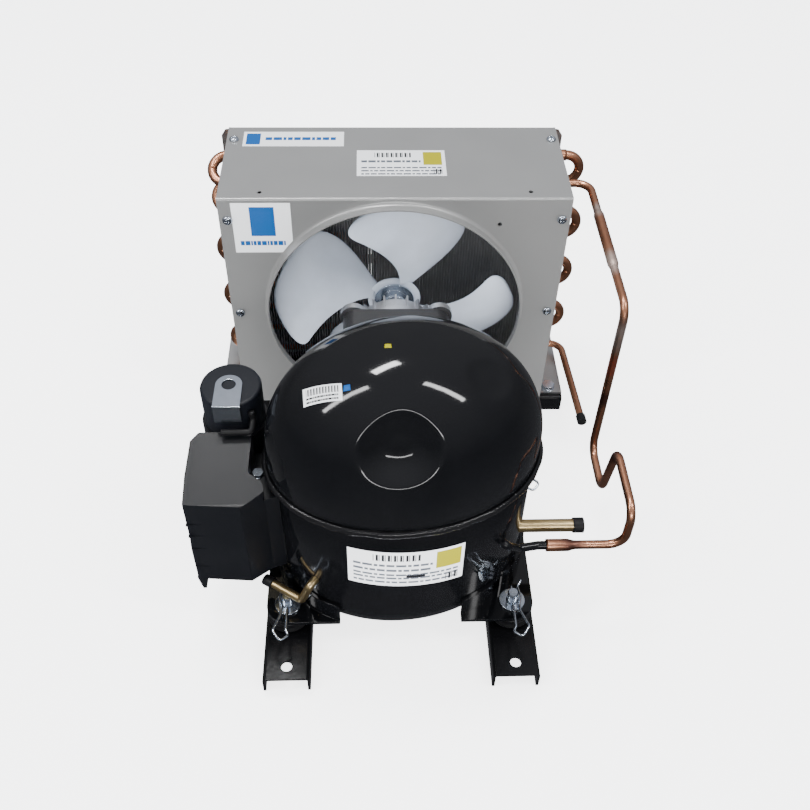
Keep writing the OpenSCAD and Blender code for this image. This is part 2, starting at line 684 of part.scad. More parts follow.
// End plate: a web with flanges in, out and down, and a hole for every tube
module end_plate(side) {
  x = side > 0 ? plate_x - end_plate_t : -plate_x;
  top = shroud_top - shroud_t;
  difference() {
    union() {
      translate([x, shroud_t, rail_h]) cube([end_plate_t, shroud_d + plate_reach - shroud_t, top - rail_h]);
      translate([side > 0 ? plate_x - flange_w : -plate_x, shroud_t, rail_h])
        cube([flange_w, end_plate_t, top - rail_h]);
      translate([side > 0 ? plate_x - flange_w : -plate_x, shroud_t, top - end_plate_t])
        cube([flange_w, shroud_d - shroud_t, end_plate_t]);
      translate([side > 0 ? plate_x - over : over - cross_l / 2 - over, foot_y[0], rail_h])
        cube([cross_l / 2 - plate_x + over, foot_y[1] - foot_y[0], foot_flange]);
      upright(shroud_d + plate_reach - end_plate_t, end_plate_t) polygon(rear_flange(side, top));
    }
    side_view(x - over, end_plate_t + 2 * over) coil_holes(coil_tube_d + 2 * loose);
    for (y = foot_bolt_y) translate([side * foot_bolt_x, y, rail_h - over])
      cylinder(d = bolt_d + loose, h = foot_flange + 2 * over);
    shroud_screw_holes();
  }
}
flange_w = 13;
foot_flange = 2;
foot_y = [5, 97];
foot_bolt_x = 143;
foot_bolt_y = [12, 88];
rear_flange_w = 7;
function rear_flange(side, top) = [[side * (plate_x - end_plate_t), rail_h + foot_flange],
  [side * (plate_x + rear_flange_w), rail_h + foot_flange],
  [side * (plate_x + rear_flange_w), top - rear_flange_w],
  [side * (plate_x + rear_flange_w / 2), top - rear_flange_w / 4], [side * (plate_x - end_plate_t), top - over]];
module end_plate_left() { color("lightgray") place() end_plate(-1); }
module end_plate_right() { color("lightgray") place() end_plate(1); }

// Hexagon head screw with a washer face, pointing down
module hex_bolt(d, head_d, head_h, l) {
  cylinder(d = head_d, h = head_h, $fn = 6);
  cylinder(d = head_d, h = head_h / 4);
  translate([0, 0, -l]) cylinder(d = d, h = l);
}
module foot_bolts() {
  color("silver") place() for (x = [-1, 1], y = foot_bolt_y)
    translate([x * foot_bolt_x, y, rail_h + foot_flange]) hex_bolt(bolt_d, bolt_head_d, bolt_head_h, rail_h - base_t);
}

// Shroud

front_screws = [[127.5, 213], [127.5, 121]];
top_screw = [128, 83];
top_hole = [102.5, 9];
front_hole = [80, 208.6];
module shroud_screw_holes() {
  for (x = [-1, 1]) {
    for (p = front_screws) rod_y([x * p[0], -over, p[1]], screw_d + loose, 4 * over);
    translate([x * top_screw[0], top_screw[1], shroud_top - 4 * over]) cylinder(d = screw_d + loose, h = 6 * over);
  }
}

// Half section of the drawn lip: sheet that flares from the panel into a short pipe
module lip_section() {
  r = opening_d / 2;
  steps = 8;
  outer = [for (i = [0:steps]) [r + flare_r - flare_r * sin(90 * i / steps),
    -flare_r + flare_r * cos(90 * i / steps)]];
  inner = [for (i = [steps:-1:0]) [r + flare_r - (flare_r - shroud_t) * sin(90 * i / steps),
    -flare_r + (flare_r - shroud_t) * cos(90 * i / steps)]];
  translate([0, shroud_t]) polygon(concat([[r + flare_r + over, 0]], outer, [[r, -lip_l - shroud_t],
    [r + shroud_t, -lip_l - shroud_t]], inner, [[r + flare_r + over, -shroud_t]]));
}

module fan_shroud() {
  w = shroud_w;
  color("lightslategray") place() difference() {
    union() {
      difference() {
        side_view(-w / 2, w) difference() {
          union() {
            translate([0, rail_h]) square([shroud_t, shroud_h - fold_r]);
            translate([fold_r, shroud_top - shroud_t]) square([shroud_d - fold_r, shroud_t]);
            intersection() {
              translate([fold_r, shroud_top - fold_r]) circle(r = fold_r);
              translate([0, shroud_top - fold_r]) square(fold_r);
            }
          }
          translate([fold_r, shroud_top - fold_r]) circle(r = fold_r - shroud_t);
        }
        rod_y([0, -over, fan_z], opening_d + 2 * flare_r + over, 4 * over);
      }
      intersection() {
        translate([0, 0, fan_z]) rotate([-90, 0, 0]) rotate_extrude($fn = 128) lip_section();
        translate([-w / 2, -2 * lip_l, rail_h]) cube([w, 3 * lip_l, shroud_h]);
      }
    }
    shroud_screw_holes();
    for (x = [-1, 1]) translate([x * top_hole[0], top_hole[1], shroud_top - 2 * over])
      cylinder(d = screw_d, h = 4 * over);
    rod_y([front_hole[0], -over, front_hole[1]], screw_d, 4 * over);
  }
}
fold_r = 2;

module pan_screw(l) {
  cylinder(d1 = screw_head_d, d2 = screw_head_d - screw_head_h, h = screw_head_h);
  translate([0, 0, -l]) cylinder(d = screw_d, h = l);
}
module shroud_screws() {
  l = shroud_t + 4 * end_plate_t;
  color("silver") place() for (x = [-1, 1]) {
    for (p = front_screws) translate([x * p[0], 0, p[1]]) rotate([90, 0, 0]) pan_screw(l);
    translate([x * top_screw[0], top_screw[1], shroud_top]) pan_screw(l);
  }
}

// Fan motor, its axis along y

module on_axis(y) { translate([0, y, fan_z]) rotate([-90, 0, 0]) children(); }
ear_inset = 8;
motor_ear = motor_w / 2 - ear_inset;
motor_bolt_d = 4;
motor_corner_r = 10;
cover_d = 74;
cover_wall = 2.5;
boss_d = 20;
rib_count = 24;
module at_ears() { for (x = [-1, 1], y = [-1, 1]) translate([x * motor_ear, y * motor_ear, 0]) children(); }

// Cast end cover: a stepped bell with radial ribs, an ear at each corner and a bearing boss
rim_h = 9;
module bell(l, d) {
  difference() {
    union() {
      rotate(180 / rib_count) {
        cylinder(d = d, h = rim_h);
        cylinder(d = d - 4 * cover_wall, h = l - cover_wall);
        cylinder(d = boss_d, h = l);
      }
      at_ears() cylinder(d = 2 * motor_corner_r - 4 * slip, h = 2 * cover_wall);
      for (i = [0:3]) rotate(90 * i + 45) translate([d / 2 - 2 * cover_wall, -motor_bolt_d, 0])
        cube([norm([motor_ear, motor_ear]) - d / 2 + 2 * cover_wall, 2 * motor_bolt_d, 2 * cover_wall - slip]);
      for (i = [0:rib_count - 1]) rotate(360 * i / rib_count) translate([(boss_d - cover_wall) / 2, -cover_wall / 4, 0])
        cube([(d - boss_d) / 2, cover_wall / 2, l - cover_wall / 2]);
    }
    rotate(180 / rib_count) translate([0, 0, -over]) {
      cylinder(d = d - 2 * cover_wall, h = rim_h - cover_wall + over);
      cylinder(d = d - 6 * cover_wall, h = l - 2 * cover_wall + over);
      cylinder(d = shaft_d + 2 * running, h = l + 2 * over);
    }
    at_ears() translate([0, 0, -over]) cylinder(d = motor_bolt_d + 2 * slip, h = l);
  }
}
module motor_front_cover() { color("silver") place() on_axis(motor_face) bell(front_cover_l, cover_d); }
module motor_rear_cover() {
  color("silver") place() on_axis(motor_back) rotate([0, 180, 0]) bell(rear_cover_l - running, cover_d);
}

rotor_d = 40;
air_gap = 0.4;
slot_count = 8;
slot_d = 9;
slot_ring = 25.5;
module at_slots(n, r) { for (i = [0:n - 1]) rotate(360 * (i + 1 / 2) / n) translate([r, 0, 0]) children(); }
module motor_stator() {
  color("black") place() on_axis(motor_back) difference() {
    linear_extrude(motor_l) round_square(motor_w, motor_w, motor_corner_r);
    translate([0, 0, -over]) cylinder(d = rotor_d + 2 * air_gap, h = motor_l + 2 * over);
    at_slots(slot_count, slot_ring) translate([0, 0, -over]) cylinder(d = slot_d, h = motor_l + 2 * over);
    at_ears() translate([0, 0, -over]) cylinder(d = motor_bolt_d + 2 * slip, h = motor_l + 2 * over);
  }
}
winding_h = 6;
module motor_windings() {
  color("peru") place() on_axis(motor_back) {
    at_slots(slot_count, slot_ring) translate([0, 0, -winding_h / 2]) cylinder(d = slot_d - 2 * running, h = motor_l + winding_h);
    for (z = [-winding_h - slip, motor_l + slip]) translate([0, 0, z])
      ring(2 * slot_ring + slot_d - over, 2 * slot_ring - slot_d + winding_h, winding_h);
  }
}
module motor_rotor() { color("gray") place() on_axis(motor_back) ring(rotor_d, shaft_d + 2 * slip, motor_l); }
shaft_front = 22;
module motor_shaft() {
  color("silver") place() on_axis(bracket_face + running) cylinder(d = shaft_d, h = shaft_front - bracket_face);
}
module motor_bolts() {
  l = motor_l + rear_cover_l + bracket_t + 2 * cover_wall;
  color("silver") place() on_axis(bracket_face - bracket_t) at_ears() {
    cylinder(d = motor_bolt_d, h = l);
    translate([0, 0, -motor_bolt_d / 2]) cylinder(d = 2 * motor_bolt_d, h = motor_bolt_d / 2);
    translate([0, 0, l]) cylinder(d = 2 * motor_bolt_d, h = motor_bolt_d / 2, $fn = 6);
  }
}

// Motor bracket: one sheet that stands on both rails
bracket_foot = 22;
bracket_bolt_y = bracket_face + bracket_foot / 2;
bracket_half = rail_x + rail_w / 2;
module motor_bracket() {
  half = motor_w / 2 + bracket_t * 2;
  color("dimgray") place() difference() {
    union() {
      upright(bracket_face - bracket_t, bracket_t) difference() {
        polygon(rounded([[-bracket_half, rail_h], [bracket_half, rail_h], [bracket_half, rail_h + bracket_foot],
          [half, fan_z + half], [-half, fan_z + half], [-bracket_half, rail_h + bracket_foot]], bracket_t));
        polygon(rounded([[-rail_x + rail_w / 2, rail_h + bracket_foot], [rail_x - rail_w / 2, rail_h + bracket_foot],
          [half - bracket_t, fan_z - half - bracket_t * 3], [bracket_t - half, fan_z - half - bracket_t * 3]], bracket_t));
        translate([0, fan_z]) circle(d = motor_w / 2);
      }
      for (x = [-1, 1]) translate([x * rail_x, bracket_face + bracket_foot / 2 - bracket_t, rail_h + bracket_t / 2])
        cube([rail_w, bracket_foot, bracket_t], center = true);
    }
    translate([0, bracket_face - 2 * bracket_t, fan_z]) rotate([-90, 0, 0]) at_ears()
      cylinder(d = motor_bolt_d + 2 * slip, h = 4 * bracket_t);
    for (x = [-1, 1]) translate([x * rail_x, bracket_bolt_y, 0]) cylinder(d = bolt_d + loose, h = 2 * rail_h);
  }
}
module bracket_bolts() {
  color("silver") place() for (x = [-1, 1]) translate([x * rail_x, bracket_bolt_y, rail_h + bracket_t])
    hex_bolt(bolt_d, bolt_head_d, bolt_head_h, rail_h - base_t);
}

// Fan: sickle blades on a hub

hub_d = 44;
hub_bore = shaft_d + 2 * slip;
fan_y = 14;
blade_root = 18;
hub_plate_t = 2;
// Share of the blade's length, against half its angle, its sweep and its pitch angle
blade_steps = 9;
function blade_half(s) = (16 + 19 * sin(100 * s)) * sqrt(1 - pow(max(0, (s - 0.72) / 0.28), 3) * 0.85);
function blade_sweep(s) = -14 + 26 * pow(s, 1.4);
function blade_point(s, e, side) = let (r = blade_root + (fan_d / 2 - blade_root) * s * (1 - 0.05 * e * e * s),
  w = blade_half(s), t = blade_sweep(s) + e * w, pitch = 34 - 17 * s)
  [r * cos(t), r * sin(t), e * w * PI / 180 * r * sin(pitch) + 3 * blade_t * (1 - e * e) * s + side * blade_t / 2];
module blade() {
  n = blade_steps;
  edge = [for (j = [0:n]) -1 + 2 * j / n];
  m = n + 1;
  points = [for (side = [-1, 1], i = [0:n], j = [0:n]) blade_point(i / n, edge[j], side)];
  top = m * m;
  skin = [for (i = [0:n - 1], j = [0:n - 1]) let (a = i * m + j)
    each [[a, a + m + 1, a + 1], [a, a + m, a + m + 1], [top + a, top + a + 1, top + a + m + 1],
      [top + a, top + a + m + 1, top + a + m]]];
  rim = [for (k = [0:n - 1]) each [
    [k, k + 1, top + k + 1], [k, top + k + 1, top + k],
    [n * m + k, top + n * m + k + 1, n * m + k + 1], [n * m + k, top + n * m + k, top + n * m + k + 1],
    [k * m, top + (k + 1) * m, (k + 1) * m], [k * m, top + k * m, top + (k + 1) * m],
    [k * m + n, (k + 1) * m + n, top + (k + 1) * m + n], [k * m + n, top + (k + 1) * m + n, top + k * m + n]]];
  polyhedron(points, concat(skin, rim));
}
blade_angle = 75;
module fan_blades() {
  color("aliceblue") place() translate([0, fan_y, fan_z]) rotate([90, 0, 0]) {
    for (i = [0:blade_count - 1]) rotate(blade_angle + 360 * i / blade_count) blade();
    translate([0, 0, -hub_plate_t / 2]) ring(hub_d, hub_bore, hub_plate_t);
  }
}
module fan_hub() {
  color("lightgray") place() translate([0, fan_y - hub_plate_t / 2 - slip, fan_z]) rotate([90, 0, 0]) {
    ring(hub_d * 0.75, hub_bore, hub_plate_t);
    ring(hub_d / 2, hub_bore, 5 * hub_plate_t);
  }
}

// Electrical parts on the left of the shell

// How far the cover reaches to the left of the shell, and in front of and behind its middle
cover_reach = [54.5, 41.3, 7.9];
cover_x = shell_pos[0] - shell_a - cover_reach[0];
cover_y = [shell_pos[1] - cover_reach[1], shell_pos[1] + cover_reach[2]];
cover_step_z = 134;
terminal_z = 95;
terminal_d = 34;
pin_d = 2.4;
pin_ring = 7;
capacitor_place = [31, 22.8];
capacitor_pos = [cover_x + capacitor_place[0], cover_y[1] + capacitor_place[1]];
capacitor_top = 180;
cup_wall = 2;

module hermetic_terminal() {
  color("dimgray") place() shell_frame() translate([-low_a + shell_t, 0, terminal_z]) rotate([0, -90, 0]) {
    ring(terminal_d, terminal_d - 2 * shell_t, 2 * shell_t);
    translate([0, 0, shell_t]) cylinder(d = terminal_d, h = shell_t / 2);
    for (i = [0:2]) rotate(120 * i) translate([pin_ring, 0, 0]) cylinder(d = pin_d, h = 5 * shell_t);
  }
}
relay_size = [26, 34, 30];
module start_relay() {
  color("ivory") place() shell_frame() difference() {
    translate([-low_a - shell_t - slip - relay_size[0], -relay_size[1] / 2, terminal_z - relay_size[2] / 2])
      cube(relay_size);
    translate([-low_a - shell_t - slip + over, 0, terminal_z]) rotate([0, -90, 0]) for (i = [0:2])
      rotate(120 * i) translate([pin_ring, 0, 0]) cylinder(d = pin_d + 2 * running, h = 5 * shell_t + over);
  }
}
overload_d = 26;
overload_h = 10;
module overload_protector() {
  color("black") place() shell_frame()
    translate([-low_a - shell_t - slip - relay_size[0] / 2, 0, terminal_z + relay_size[2] / 2 + slip]) {
      cylinder(d = overload_d - over, h = overload_h);
      cylinder(d = overload_d, h = overload_h / 3);
    }
}

cover_right = cover_x + cover_w;
// Plan of the cover: how far the front bulges, the right side reaches out and the rear corner is cut
front_bulge = 3;
corner_reach = [15, 8];
rear_cut = [9, 3.5, 6];
shell_reach = [shell_pos[0] - 72, shell_pos[1] - 24.8];
ledge = [14, 14.5];
neck = [4, 21, 5.5];
function cover_front(o) = [[cover_x + o, cover_y[0] + o], [cover_right, cover_y[0] - front_bulge + o],
  [cover_right + corner_reach[0] - o, cover_y[0] + corner_reach[1]]];
function cover_back(o) = [[cover_x + rear_cut[0] + o, cover_y[1] - o], [cover_x + rear_cut[1] + o, cover_y[1] - rear_cut[2]]];
// The low part reaches the shell, the high part leaves room for the earth screw
function cover_low(o) = concat(cover_front(o), [[shell_reach[0], shell_reach[1] + o], [shell_reach[0], cover_y[1] - o]],
  cover_back(o));
function cover_high(o) = concat(cover_front(o), [[cover_right + ledge[0], cover_y[0] + ledge[1] - o],
  [cover_right + neck[0] - o, cover_y[0] + neck[1]], [cover_right + neck[2] - o, cover_y[1] - o]], cover_back(o));
cover_round = 2;
module cover_body(o) {
  linear_extrude(cover_step_z - o) polygon(rounded(cover_low(o), cover_round));
  linear_extrude(cover_rear_z) polygon(rounded(cover_high(o), cover_round));
}
// Room in front of the cover, its draft on the left and the heights where that starts and ends
cover_room = 9;
draft_x = 1.5;
draft_z = [30, 50];
module cover_solid(o) {
  front = cover_y[0] - cover_room;
  intersection() {
    cover_body(o);
    side_view(cover_x - cover_w, 3 * cover_w) polygon([[front, cover_z], [front, cover_front_z - o],
      [cover_y[0], cover_front_z - o], [cover_y[1] + over, cover_rear_z - o], [cover_y[1] + over, cover_z]]);
    upright(front, cover_y[1] + over - front) polygon([[cover_x, cover_z - over], [cover_x, cover_z + draft_z[0]],
      [cover_x + draft_x + o, cover_z + draft_z[1]], [cover_x + draft_x + o, cover_rear_z + over],
      [0, cover_rear_z + over], [0, cover_z - over]]);
  }
}
rib_z = [117.8, 104.9, 90.3, 68.7];
rib_l = 32;
rib_depth = 2;
rib_h = 1.6;
rib_inset = 1;
rib_shares = [1, 0.96, 0.9, 0.84];
module electrical_cover() {
  color("black") place() difference() {
    union() {
      difference() {
        cover_solid(0);
        translate([0, 0, -over]) cover_solid(cover_t);
      }
      for (i = [0:3]) translate([cover_x + rib_inset, cover_y[0] - rib_inset, rib_z[i]])
        cube([rib_l * rib_shares[i], rib_depth, rib_h]);
      translate([cover_x, cover_y[0], cover_z]) leg();
      capacitor_cup();
    }
    shell_clearance();
    translate([capacitor_pos[0], capacitor_pos[1], capacitor_top - capacitor_l])
      cylinder(d = capacitor_d + 4 * slip, h = capacitor_l);
    translate([cover_x, cover_y[0], 0]) cover_groove();
    translate(earth_pos - [0, 0, 2 * earth_l]) cylinder(d = earth_d + 2 * slip, h = 3 * earth_l);
  }
}
// Pointed leg at the front corner
leg_w = 8;
leg_drop = 13;
leg_tip = [2.5, 5];
module leg() { upright(0, cover_t) polygon([[0, over], [leg_w, over], [leg_tip[1], -leg_drop], [leg_tip[0], -leg_drop]]); }
cup_drop = 30;
module capacitor_cup() {
  translate([capacitor_pos[0], capacitor_pos[1], capacitor_top - capacitor_l - cup_wall])
    cylinder(d = capacitor_d + 2 * cup_wall, h = capacitor_l - cup_drop);
}
groove_end = [24, 50];
groove_size = [1, 30, 4];
groove_depth = 1.4;
groove_tilt = -18.5;
groove_turn = 14;
module cover_groove() {
  translate([groove_end[0], groove_end[1], cover_rear_z - groove_depth]) rotate([groove_tilt, 0, groove_turn])
    translate([0, -groove_size[1], 0]) cube(groove_size);
}
// Room for the shell and its bead
module shell_clearance() {
  shell_frame() {
    translate([0, 0, cover_z - over]) linear_extrude(seam_z - bead_h - cover_z) shell_outline(loose);
    translate([0, 0, seam_z - bead_h - over]) linear_extrude(cover_rear_z) shell_outline(shell_t + 2 * bead_w);
  }
}

module start_capacitor() {
  color("black") place() translate([capacitor_pos[0], capacitor_pos[1], capacitor_top - capacitor_l])
    cylinder(d = capacitor_d, h = capacitor_l);
}

strap_t = 1.2;
strap_w = 18.5;
strap_x = capacitor_pos[0] - 1;
strap_hole_d = 9.5;
strap_front = capacitor_pos[1] - capacitor_d / 2 - strap_t - loose;
strap_reach = 8;
strap_drop = 14;
module capacitor_strap() {
  tip = capacitor_pos[1] + strap_reach - strap_w / 2;
  color("silver") place() {
    translate([strap_x, 0, capacitor_top]) linear_extrude(strap_t) difference() {
      union() {
        translate([-strap_w / 2, strap_front]) square([strap_w, tip - strap_front]);
        translate([0, tip]) circle(d = strap_w);
      }
      translate([0, tip]) circle(d = strap_hole_d);
    }
    translate([strap_x - strap_w / 2, strap_front, capacitor_top - strap_drop]) cube([strap_w, strap_t, strap_drop]);
  }
}

lead_d = 4.5;
lead_places = [[14.6, -18.5, -8], [15.7, -19, -14], [14.5, -26.5, -19.2], [-6, -27, -18.8]];
lead_route = [for (p = lead_places) [capacitor_pos[0] + p[0], capacitor_pos[1] + p[1], capacitor_top + p[2]]];
lead_bend_r = 3;
module capacitor_lead() { color("black") place() wire(lead_route, lead_bend_r, lead_d); }

earth_place = [48.5, 30];
earth_pos = [cover_x + earth_place[0], cover_y[0] + earth_place[1], cover_step_z];
earth_d = 4;
earth_l = 8;
module earth_screw() {
  color("silver") place() translate(earth_pos) hex_bolt(earth_d, 2 * earth_d, 0.75 * earth_d, earth_l);
}

// Pump inside the shell, in the shell's frame

stator_z = 45;
pump_air_gap = 0.4;
pump_rotor_d = 55;
pump_slots = 12;
pump_slot_d = 6;
pump_slot_ring = 35;
pump_winding_h = 10;
block_z = 106;
bearing_d = 32;
cylinder_z = 160;
piston_l = 24;
piston_x = 38;
bore_block = 44;
block_x = [24, 58];
rod_t = 7.5;
pin_x = 34;

module pump_stator() {
  color("gray") place() shell_frame() translate([0, 0, stator_z]) difference() {
    cylinder(d = pump_stator_d, h = pump_stator_h);
    translate([0, 0, -over]) cylinder(d = pump_rotor_d + 2 * pump_air_gap, h = pump_stator_h + 2 * over);
    at_slots(pump_slots, pump_slot_ring) translate([0, 0, -over]) cylinder(d = pump_slot_d, h = pump_stator_h + 2 * over);
  }
}
module pump_windings() {
  color("peru") place() shell_frame() translate([0, 0, stator_z]) {
    at_slots(pump_slots, pump_slot_ring) translate([0, 0, -pump_winding_h / 2])
      cylinder(d = pump_slot_d - 2 * running, h = pump_stator_h + pump_winding_h);
    for (z = [-pump_winding_h - slip, pump_stator_h + slip]) translate([0, 0, z])
      ring(2 * pump_slot_ring + pump_winding_h, 2 * pump_slot_ring - pump_winding_h, pump_winding_h);
  }
}
module pump_rotor() {
  color("silver") place() shell_frame() translate([0, 0, stator_z]) ring(pump_rotor_d, crank_d + 2 * slip, pump_stator_h);
}
web_z = 146;
web_h = 6;
crank_pin_d = 12;
crank_pin_h = 3.9;
module crankshaft() {
  color("lightgray") place() shell_frame() {
    translate([0, 0, stator_z - pump_winding_h]) cylinder(d = crank_d, h = web_z - stator_z + pump_winding_h);
    translate([0, 0, web_z]) cylinder(d = 2 * crank_d, h = web_h);
    translate([0, crank_throw, web_z + web_h]) cylinder(d = crank_pin_d, h = crank_pin_h);
  }
}
// Casting: a deck on four legs, a bearing hub and the cylinder on its pedestal
deck_h = 10;
leg_ring = 46;
leg_d = 9;
hub_drop = 10;
hub_h = 34;
module cylinder_block() {
  hub_z = block_z - hub_drop;
  color("dimgray") place() shell_frame() difference() {
    union() {
      translate([0, 0, block_z]) cylinder(d = pump_stator_d, h = deck_h);
      translate([0, 0, hub_z]) cylinder(d = bearing_d, h = hub_h);
      for (i = [0:3]) rotate(45 + 90 * i) translate([leg_ring, 0, stator_z + pump_stator_h])
        cylinder(d = leg_d, h = block_z - stator_z - pump_stator_h);
      translate([block_x[0], -bore_block / 2, block_z + deck_h])
        cube([block_x[1] - block_x[0], bore_block, cylinder_z + bore_block / 2 - block_z - deck_h]);
    }
    translate([0, 0, hub_z - over]) cylinder(d = crank_d + 2 * running, h = hub_h + 2 * over);
    translate([block_x[0] - over, 0, cylinder_z]) rotate([0, 90, 0]) cylinder(d = cylinder_d, h = 2 * bore_block);
  }
}
piston_bore_share = 0.74;
crown_t = 3;
module piston() {
  color("silver") place() shell_frame() difference() {
    translate([piston_x - piston_l / 2, 0, cylinder_z]) rotate([0, 90, 0])
      cylinder(d = cylinder_d - 2 * running, h = piston_l);
    translate([piston_x - piston_l / 2 - over, 0, cylinder_z]) rotate([0, 90, 0])
      cylinder(d = cylinder_d * piston_bore_share, h = piston_l - crown_t + over);
    translate([pin_x, 0, cylinder_z - cylinder_d]) cylinder(d = wrist_d, h = 2 * cylinder_d);
  }
}
wrist_d = 8;
pin_share = 0.9;
module wrist_pin() {
  color("lightgray") place() shell_frame() translate([pin_x, 0, cylinder_z - cylinder_d * pin_share / 2])
    cylinder(d = wrist_d - 2 * slip, h = cylinder_d * pin_share);
}
big_end_d = 22;
small_end_d = 14;
shank_w = 8;
module connecting_rod() {
  h = rod_t;
  color("gray") place() shell_frame() translate([0, 0, cylinder_z - h / 2]) difference() {
    union() {
      cylinder(d = big_end_d, h = h);
      translate([pin_x, 0, 0]) cylinder(d = small_end_d, h = h);
      translate([0, -shank_w / 2, 0]) cube([pin_x, shank_w, h]);
    }
    translate([0, 0, -over]) cylinder(d = crank_pin_d + 2 * running, h = h + 2 * over);
    translate([pin_x, 0, -over]) cylinder(d = wrist_d + 2 * running, h = h + 2 * over);
  }
}
head_t = 8;
module cylinder_head() {
  color("silver") place() shell_frame() translate([block_x[1] + slip, -bore_block / 2, cylinder_z - bore_block / 2])
    cube([head_t, bore_block, bore_block]);
}

// Four coil springs that carry the pump on the shell's floor
spring_d = 11;
spring_wire = 1.8;
spring_turns = 4;
spring_at = [40, 24];
module spring() {
  h = stator_z - shell_z - shell_t - spring_wire;
  n = 8 * spring_turns;
  m = 6;
  r = (spring_d - spring_wire) / 2;
  points = [for (i = [0:n], j = [0:m - 1]) let (t = 45 * i, e = 360 * j / m,
    q = r + spring_wire / 2 * cos(e)) [q * cos(t), q * sin(t), h * i / n + spring_wire / 2 * sin(e)]];
  sides = [for (i = [0:n - 1], j = [0:m - 1]) let (a = i * m + j, b = i * m + (j + 1) % m)
    each [[a, b + m, b], [a, a + m, b + m]]];
  caps = [for (j = [1:m - 2]) each [[0, j, j + 1], [n * m, n * m + j + 1, n * m + j]]];
  polyhedron(points, concat(sides, caps));
}
module suspension_springs() {
  color("gray") place() shell_frame() for (x = [-1, 1], y = [-1, 1])
    translate([x * spring_at[0], y * spring_at[1], shell_z + shell_t + spring_wire / 2]) spring();
}

base_rail_left();
base_rail_right();
rear_crossmember();
mounting_studs();
rubber_grommets();
stud_washers();
hairpin_clips();
compressor_lower_shell();
compressor_upper_shell();
shell_weld_bead();
foot_bracket_left();
foot_bracket_right();
suction_stub();
suction_cap();
process_tube();
process_cap();
discharge_stub();
discharge_line();
line_coupling();
hermetic_terminal();
start_relay();
overload_protector();
electrical_cover();
start_capacitor();
capacitor_strap();
capacitor_lead();
earth_screw();
fin_pack();
hairpin_tubes();
return_bends();
inlet_tube();
outlet_tube();
outlet_cap();
end_plate_left();
end_plate_right();
foot_bolts();
fan_shroud();
shroud_screws();
motor_front_cover();
motor_stator();
motor_windings();
motor_rear_cover();
motor_bracket();
motor_bolts();
bracket_bolts();
motor_rotor();
motor_shaft();
fan_blades();
fan_hub();
pump_stator();
pump_windings();
pump_rotor();
crankshaft();
cylinder_block();
piston();
wrist_pin();
connecting_rod();
cylinder_head();
suspension_springs();
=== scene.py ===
"""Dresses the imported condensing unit: finishes, fine copper work, fins, labels, light and camera."""

import logging
import math
from dataclasses import dataclass
from enum import Enum
from typing import Any, Callable, Iterable, Sequence

import bmesh
import bpy
import numpy as np
from mathutils import Matrix, Vector


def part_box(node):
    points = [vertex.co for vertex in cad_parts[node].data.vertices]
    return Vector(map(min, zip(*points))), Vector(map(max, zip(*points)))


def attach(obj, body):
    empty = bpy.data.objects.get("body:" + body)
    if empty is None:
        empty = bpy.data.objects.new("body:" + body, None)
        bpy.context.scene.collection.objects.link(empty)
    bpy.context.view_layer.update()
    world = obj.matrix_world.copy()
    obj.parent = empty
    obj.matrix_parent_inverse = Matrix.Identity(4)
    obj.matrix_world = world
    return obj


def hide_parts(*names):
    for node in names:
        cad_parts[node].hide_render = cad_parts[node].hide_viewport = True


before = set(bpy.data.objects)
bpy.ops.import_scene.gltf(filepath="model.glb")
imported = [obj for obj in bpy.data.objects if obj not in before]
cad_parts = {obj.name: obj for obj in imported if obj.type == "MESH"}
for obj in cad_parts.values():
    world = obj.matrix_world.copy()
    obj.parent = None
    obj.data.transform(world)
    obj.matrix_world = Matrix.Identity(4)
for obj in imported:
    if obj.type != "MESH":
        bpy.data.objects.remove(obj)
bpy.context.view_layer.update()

log = logging.getLogger("condensing_unit")
MM = 0.001
CHASSIS = "chassis"
Array = np.ndarray
Point = tuple[float, float, float]
Pair = tuple[float, float]
Field = Callable[[Array, Array], Array]
Thing = bpy.types.Object


def sketch_origin() -> Array:
    """Place, in metres, of the point on the floor below the front of the shroud and the fan's axis."""
    low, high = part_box("fan_shroud")
    shroud_depth = 102 * MM
    return np.array([(low.x + high.x) / 2, high.y - shroud_depth, 0.0])


ORIGIN = sketch_origin()


def placed(points: Any) -> Array:
    """Turns sketch points in millimetres into metres in the part's frame.

    Args:
        points: One point or an array of points, x, y and z last.

    Returns:
        The same points as an array in metres.
    """
    return np.asarray(points, dtype=float) * MM + ORIGIN


# Node trees


class Val:
    """A socket of a node tree on which plain arithmetic adds Math nodes."""

    def __init__(self, nodes: "Nodes", socket: bpy.types.NodeSocket) -> None:
        """Keeps the tree's builder and the socket."""
        self.nodes = nodes
        self.socket = socket

    def _math(self, operation: str, a: Any, b: Any) -> "Val":
        """Adds one Math node for two values or sockets."""
        return self.nodes.make("ShaderNodeMath", {"operation": operation}, {0: a, 1: b})

    def __add__(self, other: Any) -> "Val":
        """Sum."""
        return self._math("ADD", self, other)

    def __sub__(self, other: Any) -> "Val":
        """Difference."""
        return self._math("SUBTRACT", self, other)

    def __mul__(self, other: Any) -> "Val":
        """Product."""
        return self._math("MULTIPLY", self, other)

    __radd__ = __add__

    def step(self, low: float, high: float, first: float = 0.0, last: float = 1.0) -> "Val":
        """Goes from first to last while the value goes from low to high.

        Args:
            low: Value that gives first.
            high: Value that gives last, which may be the smaller one.
            first: Result at and below low.
            last: Result at and above high.

        Returns:
            The clamped ramp.
        """
        ends = {"Value": self, "From Min": low, "From Max": high, "To Min": first, "To Max": last}
        return self.nodes.make("ShaderNodeMapRange", {"clamp": True}, ends)


